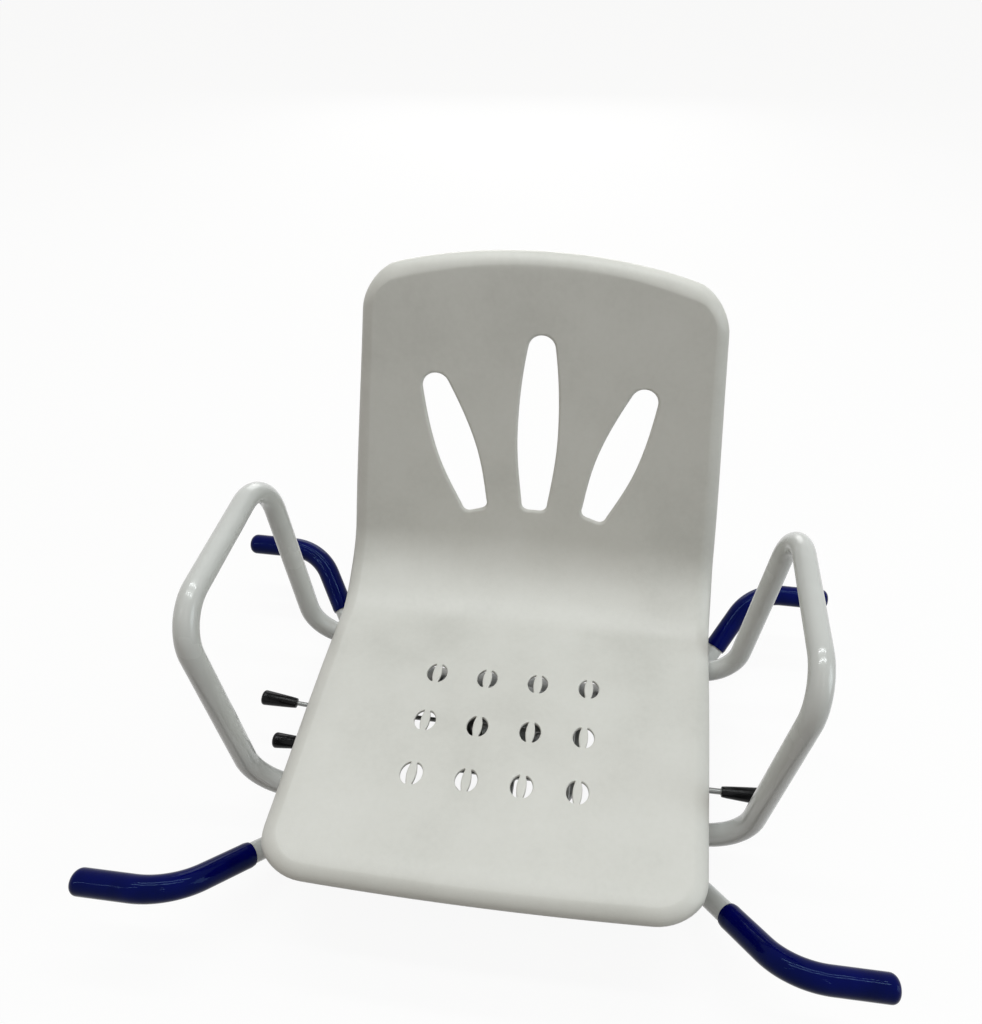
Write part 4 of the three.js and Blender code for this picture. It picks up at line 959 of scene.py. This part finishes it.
def build_armrests():
    a = ARMREST
    for side, across in SIDES:
        line = bent_line([
            ((across * a.inner_end, a.front, a.low), 0),
            ((across * a.low_out, a.front, a.low), a.bend),
            ((across * a.top_out, a.top_front, a.top), a.bend),
            ((across * a.top_out, a.top_rear, a.top), a.bend),
            ((across * a.low_out, a.rear, a.low), a.bend),
            ((across * a.inner_end, a.rear, a.low), 0),
        ])
        name = f"armrest_tube_{side}"
        mesh = tube_mesh(name, filled_in(line, TUBE_STEP), ARMREST_TUBE.radius, ARMREST_TUBE.wall)
        piece(name, mesh, POWDER_COAT, "seat", f"armrest_{side}")


def build_sockets():
    half = SOCKET.half_length
    tube = moved(ring_form(SOCKET.bore, SOCKET.radius, -half, half, edge=0.5), ALONG_X)
    for end, y in ARMREST_ROWS:
        placed = shifted(tube, 0, y, ARMREST.low)
        piece(f"armrest_socket_{end}", placed, POWDER_COAT, "seat", f"socket_tube_{end}")


def build_rails():
    half_z, middle_z = (SOCKET_LOW_Z - DECK_Z) / 2, (SOCKET_LOW_Z + DECK_Z) / 2
    outer = rounded_box_outline(RAIL.half_width, half_z, RAIL.corner)
    inner = rounded_box_outline(RAIL.half_width - RAIL.wall, half_z - RAIL.wall, RAIL.inner_corner)
    low, high = ARMREST.front - RAIL.overhang, ARMREST.rear + RAIL.overhang
    for side, across in SIDES:
        rings = []
        for outline, y, inset in (
            (outer, low, RAIL.edge), (outer, low + RAIL.edge, 0), (outer, high - RAIL.edge, 0),
            (outer, high, RAIL.edge), (inner, high, 0), (inner, low, 0),
        ):
            wide, tall = 1 - inset / RAIL.half_width, 1 - inset / half_z
            rings.append([Vector((across * RAIL.out + x * wide, y, middle_z + z * tall)) for x, z in outline])
        piece(f"seat_rail_{side}", rings_form(rings, closed=True), POWDER_COAT, "seat", f"side_rail_{side}")


def build_base_tubes():
    end_x = BASE.tip - SLEEVE.cap - TOUCH
    for end, side in ENDS:
        y, cross_y = side * BASE.row, side * BASE.cross_row
        line = bent_line([
            ((-end_x, y, 0), 0),
            ((-BASE.elbow, y, 0), BASE.bend),
            ((-BASE.cross, cross_y, CROSS_Z), BASE.bend),
            ((BASE.cross, cross_y, CROSS_Z), BASE.bend),
            ((BASE.elbow, y, 0), BASE.bend),
            ((end_x, y, 0), 0),
        ])
        name = f"frame_tube_{end}"
        mesh = tube_mesh(name, filled_in(line, TUBE_STEP), BASE_TUBE.radius, BASE_TUBE.wall)
        piece(name, mesh, POWDER_COAT, "base", f"base_tube_{end}")


def build_sleeves():
    """A soft sleeve over each frame end: closed and rounded at its tip, with a thin bead at its mouth."""
    for end, side in ENDS:
        for hand, across in SIDES:
            tip = Vector((across * BASE.tip, side * BASE.row, 0))
            elbow = Vector((across * BASE.elbow, side * BASE.row, 0))
            cross = Vector((across * BASE.cross, side * BASE.cross_row, CROSS_Z))
            mouth = elbow + (cross - elbow).normalized() * (SLEEVE.length - (BASE.tip - BASE.elbow))
            name = f"frame_sleeve_{end}_{hand}"
            line, swells = sleeve_line(tip, elbow, mouth)
            mesh = tube_mesh(name, line, SLEEVE.radius, SLEEVE.wall, swells=swells, finish=NAVY)
            piece(name, mesh, NAVY, "base", f"sleeve_{end}_{hand}", smooth=60)


def sleeve_line(tip, elbow, mouth):
    """A sleeve's line and its swells: a flat tip, a quarter round, then even to the bead at its mouth."""
    radius, tip_radius, steps = SLEEVE.radius, SLEEVE.tip_radius, SLEEVE.steps
    inwards = (elbow - tip).normalized()
    line = [tip + inwards * (SLEEVE.tip_step * k) for k in range(steps + 1)]
    swells = [max(SLEEVE.least_swell, k / steps * (radius - tip_radius) / radius) for k in range(steps + 1)]
    start = SLEEVE.tip_step * steps
    for angle in (math.pi / 2 * k / steps for k in range(1, steps + 1)):
        line.append(tip + inwards * (start + (tip_radius - start) * (1 - math.cos(angle))))
        swells.append((radius - tip_radius + tip_radius * math.sin(angle)) / radius)
    rest = bent_line([(line[-1], 0), (elbow, BASE.bend), (mouth, 0)])
    for point in filled_in(rest, SLEEVE_STEP)[1:]:
        left = (mouth - point).length
        bead = SLEEVE.bead * max(0.0, 1 - abs(left - SLEEVE.bead_half) / SLEEVE.bead_half)
        bead -= SLEEVE.lip * max(0.0, 1 - left / SLEEVE.lip_length)
        line.append(point)
        swells.append(1 + bead / radius)
    return line, swells


# Swivel plates

def lower_plate_outline():
    """A disc with a neck to its front and rear, each ending in a strip along a frame tube."""
    plate = LOWER_PLATE
    leave = math.degrees(math.acos(plate.neck / plate.radius))
    near, far = BASE.cross_row - plate.strip_y, BASE.cross_row + plate.strip_y
    corner, neck_corner = plate.corner, plate.neck_corner
    quarter = arc_points((0, 0), plate.radius, 0, leave, 16)
    quarter += arc_points((plate.neck + neck_corner, near - neck_corner), neck_corner, 180, 90, 4)
    quarter += arc_points((plate.strip_x - corner, near + corner), corner, -90, 0, 6)
    quarter += arc_points((plate.strip_x - corner, far - corner), corner, 0, 90, 6)
    half = quarter + [(-x, y) for x, y in reversed(quarter)]
    return half[:-1] + [(-x, -y) for x, y in half[:-1]]


def window_outline(across):
    """A window of both swivel plates: a box with round corners, its outer front corner cut along an arc."""
    w = WINDOW
    start = -math.degrees(math.acos(math.sqrt(w.reach ** 2 - w.far ** 2) / w.reach))
    end = -math.degrees(math.acos(w.outer / w.reach))
    arc = arc_points((0, 0), w.reach, start, end, 6)
    corners = [(w.inner, w.far), *arc, (w.outer, w.near), (w.inner, w.near)]
    return [(across * x, y) for x, y in softened(corners, w.corner, closed=True, steps=3)]


def build_plates():
    lugs = []
    near, far = PIN.radius + TOUCH, PIN.radius + TOUCH + LUG.thickness
    thickness = LOWER_PLATE.thickness
    for _, x, lever, _ in PINS:
        reach = math.hypot(x, lever.row)
        for quarter in range(4):
            for low, high in ((near, far), (-far, -near)):
                upstand = block((reach - LUG.half_length, low, thickness / 2),
                                (reach + LUG.half_length, high, thickness + LUG.height))
                lugs.append(spun(upstand, math.degrees(math.atan2(lever.row, x)) + 90 * quarter, "Z"))
    windows = [window_outline(across) for _, across in SIDES]
    bolt_holes = [circle(BASE_BOLT.hole, across * BASE_BOLT.out, y, sides=20)
                  for _, across in SIDES for _, y in BASE_ROWS]
    holes = [circle(PIVOT.hole, sides=32), *windows, *bolt_holes]
    plate = bevelled(joined(extruded(lower_plate_outline(), thickness, holes), *lugs), 0.4)
    piece("lower_plate", shifted(plate, z=LOWER_PLATE_Z), ZINC, "base", "lower_swivel_plate")

    pin_holes = [circle(PIN.hole, x, lever.row) for _, x, lever, _ in PINS]
    holes = [circle(PIVOT.bush_hole, sides=40), *pin_holes, *windows]
    disc = bevelled(extruded(circle(UPPER_PLATE.radius, sides=120), UPPER_PLATE.thickness, holes), 0.4)
    piece("upper_plate", shifted(disc, z=UPPER_PLATE_Z), ZINC, "seat", "upper_swivel_plate")

    ring = ring_form(RING.inner, RING.outer, RING_Z, RING_Z + RING.thickness, edge=0.8, sides=120)
    piece("glide_ring", ring, NYLON, "base", "slide_ring")


# Fasteners. Each form stands on z = 0 with its head up, and takes the sizes of its fastener.

# The share of a round head's height at which its socket ends
SOCKET_FOOT = 0.35


def hex_head(radius, height):
    """A hexagon along Z with its corners chamfered off round, as a nut or a bolt's head."""
    wide, narrow = radius * 1.2, radius * 0.8
    shoulder, top = height - radius * 0.32, height + 0.2
    cone = turned([(0, -1), (wide, -1), (wide, shoulder), (narrow, top), (0, top)], sides=64)
    return shared(extruded(hexagon(radius), height), cone)


def bolt_form(sizes, length):
    shank = rod_form(sizes.shank, -length, sizes.head_height / 2, sides=24, edge=0.6)
    return bevelled(joined(hex_head(sizes.head, sizes.head_height), shank), width=0.2, segments=1)


def nut_form(sizes):
    height = sizes.nut_height
    half = hex_head(sizes.head, height)
    both = shared(half, spun(shifted(half, z=-height), 180, "X"))
    hole = rod_form(sizes.bore, -1, height + 1, sides=24)
    return bevelled(cut(both, hole), width=0.15, segments=1)


def round_head_form(sizes, length):
    """A domed head with its shank, and a hexagonal socket where its sizes name one."""
    angles = [math.pi / 2 * k / 8 for k in range(8)]
    head = [(sizes.head * math.cos(a), sizes.head_height * math.sin(a)) for a in angles]
    profile = [(0, -length), (sizes.shank, -length), (sizes.shank, 0), *head, (0, sizes.head_height)]
    form = turned(profile, sides=32)
    if sizes.socket:
        recess = extruded(hexagon(sizes.socket), sizes.head_height)
        form = cut(form, shifted(recess, z=sizes.head_height * SOCKET_FOOT))
    return form


def fasteners(name, form, places, body, *nodes):
    """One piece from places of (position, Euler turn in degrees)."""
    model = loose_object("fastener", as_mesh("fastener", form))
    mesh = bpy.data.meshes.new("places")
    mesh.from_pydata([position for position, _ in places], [], [])
    turns = [math.radians(angle) for _, angles in places for angle in angles]
    mesh.attributes.new("turn", "FLOAT_VECTOR", "POINT").data.foreach_set("vector", turns)
    mesh = grown(loose_object("places", mesh), FASTENERS, name, Fastener=model, Material=ZINC.material)
    bpy.data.objects.remove(model)
    piece(name, mesh, ZINC, body, *nodes)


def build_fasteners():
    span = SOCKET_TOP_Z - SOCKET_LOW_Z
    for name, node, body, rows, out, z, turn, form in (
        ("armrest_bolts", "armrest_bolt", "seat", ARMREST_ROWS, ARMREST_BOLT.out, SOCKET_LOW_Z, 180,
         bolt_form(ARMREST_BOLT, span + ARMREST_BOLT.bite + TOUCH)),
        ("armrest_nuts", "armrest_nut", "seat", ARMREST_ROWS, ARMREST_BOLT.out, SOCKET_TOP_Z, 0,
         nut_form(ARMREST_BOLT)),
        ("shell_screws", "shell_screw", "seat", ARMREST_ROWS, SHELL_SCREW.out, SOCKET_LOW_Z, 180,
         round_head_form(SHELL_SCREW, span + SHELL_SCREW.bite)),
        ("frame_bolts", "base_bolt", "base", BASE_ROWS, BASE_BOLT.out, RING_Z, 0,
         round_head_form(BASE_BOLT, LOWER_PLATE.thickness + BASE_BOLT.bite)),
    ):
        places = [((across * out, y, z), (turn, 0, 0)) for _, y in rows for _, across in SIDES]
        fasteners(name, form, places, body, *[f"{node}_{end}_{side}" for end, _ in rows for side, _ in SIDES])

    rivet_out = LOCK_BAR.arm + LOCK_BAR.arm_thickness / 2 + EAR.thickness + 2 * TOUCH
    places = [((across * rivet_out, LOCK_BAR.hinge, LOCK_BAR.z), (0, 90 * across, 0)) for _, across in SIDES]
    rivet = round_head_form(RIVET, EAR.thickness + LOCK_BAR.arm_thickness + 3 * TOUCH)
    fasteners("ear_rivets", rivet, places, "seat", "lock_bar_rivet_left", "lock_bar_rivet_right")
    half_grip = SIDE_LEVER.radius + FORK.thickness + 2 * TOUCH
    place = ((SIDE_LEVER.pivot, SIDE_LEVER.row - half_grip, SIDE_LEVER.z), (90, 0, 0))
    fasteners("fork_rivet", round_head_form(RIVET, 2 * half_grip), [place], "seat", "side_lever_rivet")


def build_pivot():
    flange_z = DECK_Z + PIVOT.flange_thickness
    washer_z = flange_z + TOUCH
    head_z = washer_z + PIVOT.washer_thickness + TOUCH
    nut_z = LOWER_PLATE_Z - TOUCH - PIVOT.nut_height
    bolt = bolt_form(PIVOT, head_z - LOWER_PLATE_Z + TOUCH + PIVOT.nut_height)
    piece("pivot_screw", shifted(bolt, z=head_z), ZINC, "base", "pivot_bolt")
    washer = ring_form(PIVOT.bore, PIVOT.washer, washer_z, washer_z + PIVOT.washer_thickness, edge=0.4)
    piece("pivot_disc", washer, ZINC, "base", "pivot_washer")
    piece("pivot_locknut", shifted(nut_form(PIVOT), z=nut_z), ZINC, "base", "pivot_nut")
    bush = [(PIVOT.bore, UPPER_PLATE_Z), (PIVOT.bush, UPPER_PLATE_Z), (PIVOT.bush, DECK_Z),
            (PIVOT.flange, DECK_Z), (PIVOT.flange, flange_z), (PIVOT.bore, flange_z)]
    sleeve = turned(softened(bush, 0.4, closed=True), closed=True)
    piece("pivot_sleeve", sleeve, NYLON, "seat", "pivot_bush")


# Levers and lock pins

def grip_form(rod_radius):
    """A dipped grip along +Z, its open end at z = 0: a soft lip, a taper and a rounded end."""
    bore, length, inner, outer, end = rod_radius + TOUCH, GRIP.length, GRIP.inner, GRIP.outer, GRIP.end
    profile = [(0, GRIP.bore_depth), (bore, GRIP.bore_depth), (bore, GRIP.mouth), (bore + GRIP.flare, 0),
               (inner - GRIP.lip, 0), (inner - GRIP.lip_edge, GRIP.lip_edge), (inner, GRIP.lip)]
    for share in (k / 8 for k in range(1, 8)):
        radius = inner + (outer - inner) * share ** GRIP.swell
        profile.append((radius, length * GRIP.taper * share * (1 - GRIP.crowding * share)))
    profile += arc_points((outer - end, length - end), end, 0, 90, 8)
    return turned([*profile, (0, length)])


def strap_outline(half_width, top_z):
    return [(half_width, DECK_Z), (half_width, top_z - half_width),
            *arc_points((0, top_z - half_width), half_width, 0, 180, 20)[1:], (-half_width, DECK_Z)]


def build_lock_bar():
    bar = LOCK_BAR
    low, high = bar.grips[0] - GRIP.rod_depth, bar.grips[1] + GRIP.rod_depth
    rod = shifted(moved(rod_form(bar.radius, low, high, sides=28, edge=0.6), ALONG_X), 0, bar.row, bar.z)
    outline = arc_points((bar.row, 0), bar.arm_half, 90, 270, 16)
    outline += arc_points((bar.hinge, 0), bar.arm_half, -90, 90, 16)
    arm = moved(extruded(outline, bar.arm_thickness, [circle(RIVET.hole, bar.hinge, 0)]), UPRIGHT)
    arms = [shifted(arm, across * bar.arm - bar.arm_thickness / 2, 0, bar.z) for _, across in SIDES]
    piece("lock_handle", bevelled(joined(rod, *arms), 0.35), ZINC, "lock_bar", "lock_bar")
    strap = strap_outline(EAR.half_width, bar.z + EAR.rise)
    upright = moved(extruded(strap, EAR.thickness, [circle(RIVET.hole, 0, bar.z)]), UPRIGHT)
    upright = shifted(upright, -EAR.thickness / 2)
    for (side, across), x in zip(SIDES, bar.grips):
        grip = shifted(spun(grip_form(bar.radius), 90 * across, "Y"), x, bar.row, bar.z)
        piece(f"lock_grip_{side}", grip, BLACK, "lock_bar", f"lock_bar_grip_{side}")
        foot = block((min(0, across * EAR.foot), -EAR.half_width, DECK_Z),
                     (max(0, across * EAR.foot), EAR.half_width, DECK_Z + EAR.thickness))
        out = across * (bar.arm + bar.arm_thickness / 2 + TOUCH + EAR.thickness / 2)
        ear = shifted(bevelled(joined(upright, foot), 0.4), out, bar.hinge)
        piece(f"hinge_ear_{side}", ear, ZINC, "seat", f"lock_bar_ear_{side}")


def build_side_lever():
    lever = SIDE_LEVER
    outer_x = lever.grip - GRIP.rod_depth
    rise = math.tan(math.radians(lever.rise))
    line = bent_line([
        ((lever.pivot, lever.row, lever.z), 0),
        ((lever.bend, lever.row, lever.z), lever.bend_radius),
        ((outer_x, lever.row, lever.z + (lever.bend - outer_x) * rise), 0),
    ], bend_step=1.5)
    rod = mesh_form(tube_mesh("lever_rod", line, lever.radius, wall=0, sides=28, finish=ZINC))
    eye, hole = (shifted(spun(rod_form(radius, -half, half, sides), 90, "X"), lever.pivot, lever.row, lever.z)
                 for radius, half, sides in ((lever.eye, lever.radius, 32), (RIVET.hole, 6, 24)))
    handle = bevelled(cut(joined(eye, rod), hole), 0.3)
    piece("release_lever", handle, ZINC, "side_lever", "side_lever")
    grip = spun(grip_form(lever.radius), -90 + lever.rise, "Y")
    grip = shifted(grip, lever.grip, lever.row, lever.z + (lever.bend - lever.grip) * rise)
    piece("release_grip", grip, BLACK, "side_lever", "side_lever_grip")

    half_gap = lever.radius + TOUCH
    half_y = half_gap + FORK.thickness
    outline = strap_outline(FORK.half_width, lever.z + FORK.rise)
    cheek = spun(extruded(outline, FORK.thickness, [circle(RIVET.hole, 0, lever.z)]), 90, "X")
    floor = block((-FORK.half_width, -half_y, DECK_Z), (FORK.half_width, half_y, DECK_Z + FORK.thickness))
    fork = bevelled(joined(floor, shifted(cheek, y=-half_gap), shifted(cheek, y=half_y)), 0.3)
    piece("lever_fork", shifted(fork, lever.pivot, lever.row), ZINC, "seat", "side_lever_fork")


def bridge_form(roof_z):
    """A strip bent to a hat over the pin, with a hole in its roof. It spans along Y."""
    t, span, foot = BRIDGE.thickness, BRIDGE.half_span, BRIDGE.half_span + BRIDGE.foot
    side = [(-foot, DECK_Z), (t - span, DECK_Z), (t - span, roof_z - t), (span - t, roof_z - t),
            (span - t, DECK_Z), (foot, DECK_Z), (foot, DECK_Z + t), (span, DECK_Z + t), (span, roof_z),
            (-span, roof_z), (-span, DECK_Z + t), (-foot, DECK_Z + t)]
    strip = extruded(softened(side, BRIDGE.corner, closed=True, steps=3), 2 * BRIDGE.half_width)
    strip = shifted(spun(strip, 90, "X"), y=BRIDGE.half_width)
    hole = rod_form(PIN.radius + BRIDGE.hole_slack, roof_z - t - 2, roof_z + 2, sides=28)
    return spun(bevelled(cut(strip, hole), 0.3), 90, "Z")


def build_lock_pins():
    guide_top = DECK_Z + GUIDE.height
    for name, x, lever, travel in PINS:
        y = lever.row
        collar_z = guide_top + TOUCH
        collar_top = collar_z + PIN.collar_thickness
        low_head, high_head = lever.z - PIN.head_half, lever.z + PIN.head_half
        profile = [(0, RING_Z), (PIN.radius - PIN.point, RING_Z), (PIN.radius, RING_Z + PIN.point),
                   (PIN.radius, collar_z), (PIN.collar, collar_z), (PIN.collar, collar_top),
                   (PIN.radius, collar_top), (PIN.radius, low_head), (PIN.head, low_head),
                   (PIN.head, high_head), (0, high_head)]
        half_eye = lever.radius + PIN.slack
        eye = block((-PIN.eye_reach, -PIN.eye_half, lever.z - half_eye),
                    (PIN.eye_reach, PIN.eye_half, lever.z + half_eye))
        pin = shifted(bevelled(cut(turned(profile, sides=40), eye), 0.3), x, y)
        piece(f"{name}_pin", pin, ZINC, f"{name}_lock_pin", f"{name}_lock_pin")

        bore = PIN.radius + TOUCH
        guide = shifted(ring_form(bore, bore + GUIDE.wall, DECK_Z, guide_top, edge=0.5, sides=40), x, y)
        piece(f"{name}_guide", guide, NYLON, "seat", f"{name}_pin_guide")
        roof_z = low_head - BRIDGE.thickness
        piece(f"{name}_bridge", shifted(bridge_form(roof_z), x, y), ZINC, "seat", f"{name}_pin_bridge")

        low, high = collar_top + TOUCH + SPRING.wire, roof_z - BRIDGE.thickness - TOUCH - SPRING.wire
        host = loose_object("spring", bpy.data.meshes.new("spring"))
        mesh = grown(host, COIL_SPRING, f"{name}_spring", Coil_radius=SPRING.coil, Wire_radius=SPRING.wire,
                     Turns=float(SPRING.turns), Height=high - low, Foot=(x, y, low), Material=ZINC.material)
        spring = piece(f"{name}_spring", mesh, ZINC, "seat", f"{name}_lock_spring", smooth=60)
        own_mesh(spring)


# Floor, light and camera

def seen_by_eye(tree):
    """1 for rays from the camera, from gloss and through clear things, and 0 for the light itself."""
    rays = tree.nodes.new("ShaderNodeLightPath").outputs
    seen = rays["Is Camera Ray"]
    for other in ("Is Glossy Ray", "Is Transmission Ray"):
        seen = add_node(tree, "ShaderNodeMath", seen, rays[other], operation="MAXIMUM")
    return seen


def close_shader(tree, output, share, unseen, seen):
    mix = add_node(tree, "ShaderNodeMixShader", share, unseen, seen)
    tree.links.new(mix, tree.nodes.new(output).inputs["Surface"])


def build_floor():
    half = 6.0
    mesh = bpy.data.meshes.new("studio_floor")
    corners = [(-half, -half, 0), (half, -half, 0), (half, half, 0), (-half, half, 0)]
    mesh.from_pydata(corners, [], [(0, 1, 2, 3)])
    material = bpy.data.materials.new("pale studio floor")
    material.use_nodes = True
    tree = material.node_tree
    tree.nodes.clear()
    cloud = noise(tree, object_coordinates(tree), 3, 3, 0.5)
    eye = seen_by_eye(tree)
    dull, pale = (ramp(tree, cloud, ((low,) * 3, (high,) * 3)) for low, high in ((0.27, 0.31), (0.88, 0.92)))
    tone = add_node(tree, "ShaderNodeMix", data_type="RGBA", Factor=eye, A=dull, B=pale).node.outputs[2]
    plain = add_node(tree, "ShaderNodeBsdfDiffuse", tone)
    white = add_node(tree, "ShaderNodeEmission", (1, 1, 1, 1), 1.0)
    share = add_node(tree, "ShaderNodeMath", eye, 0.92, operation="MULTIPLY")
    close_shader(tree, "ShaderNodeOutputMaterial", share, plain, white)
    mesh.materials.append(material)
    loose_object("studio_floor", mesh)


def build_world():
    world = bpy.data.worlds.new("studio")
    scene.world = world
    world.use_nodes = True
    tree = world.node_tree
    tree.nodes.clear()
    soft = add_node(tree, "ShaderNodeBackground", (1, 0.91, 0.78, 1), 0.27)
    white = add_node(tree, "ShaderNodeBackground", (1, 1, 1, 1), 1.0)
    close_shader(tree, "ShaderNodeOutputWorld", seen_by_eye(tree), soft, white)


def build_lights():
    """Area lamps as (name, place, what it points at, size, power, colour), in metres and watts."""
    for name, place, target, size, power, colour in (
        ("near ceiling lamp", (0, 0.1, 2.4), (0, 0, 0.2), (2.4, 0.16), 16.5, (0.95, 1, 1)),
        ("far ceiling lamp", (0, 0.8, 2.4), (0, 0, 0.2), (2.4, 0.16), 18.5, (0.95, 1, 1)),
        ("left tube lamp", (-1.2, -0.9, 1.8), (-0.2, 0, 0.15), (0.014, 1.2), 2.1, (1, 1, 1)),
        ("front tube lamp", (0.5, -1.3, 2.0), (0.1, 0, 0.15), (0.014, 1.0), 1.3, (1, 1, 1)),
        ("right softbox", (1.9, -0.35, 0.9), (0, 0, 0.25), (0.9, 1.1), 9, (0.86, 0.97, 1)),
        ("rear softbox", (-0.3, 2.3, 0.8), (0, 0.1, 0.25), (1.4, 1.1), 12, (1, 1, 1)),
    ):
        light = bpy.data.lights.new(name, "AREA")
        light.shape = "RECTANGLE"
        light.size, light.size_y = size
        light.energy = power
        light.color = colour
        lamp = loose_object(name, light)
        lamp.location = place
        lamp.rotation_euler = (Vector(target) - Vector(place)).to_track_quat("-Z", "Y").to_euler()


def build_camera():
    """The camera found from the photograph: its place, its turn and the shift of its picture."""
    turn, tilt, roll = (math.radians(angle) for angle in (-5.64, 43.96, -1.48))
    forward = Vector((math.sin(turn) * math.cos(tilt), math.cos(turn) * math.cos(tilt), -math.sin(tilt)))
    level = Vector((math.cos(turn), -math.sin(turn), 0))
    down = forward.cross(level)
    across = level * math.cos(roll) + down * math.sin(roll)
    downwards = down * math.cos(roll) - level * math.sin(roll)
    camera = bpy.data.cameras.new("camera")
    camera.sensor_width = 36
    camera.lens = 28.125
    camera.shift_x, camera.shift_y = -0.04824, 0.01396
    camera.clip_start, camera.clip_end = 0.05, 50
    holder = loose_object("camera", camera)
    turned_to = Matrix((across, -downwards, -forward)).transposed().to_4x4()
    holder.matrix_world = Matrix.Translation(to_row @ Vector((76.7, -469.0, 746.3))) @ turned_to
    scene.camera = holder


for build_part in (
    build_shell, build_armrests, build_sockets, build_rails, build_base_tubes, build_sleeves, build_plates,
    build_fasteners, build_pivot, build_lock_bar, build_side_lever, build_lock_pins,
    build_floor, build_world, build_lights, build_camera,
):
    build_part()
scene.view_settings.view_transform = "Standard"
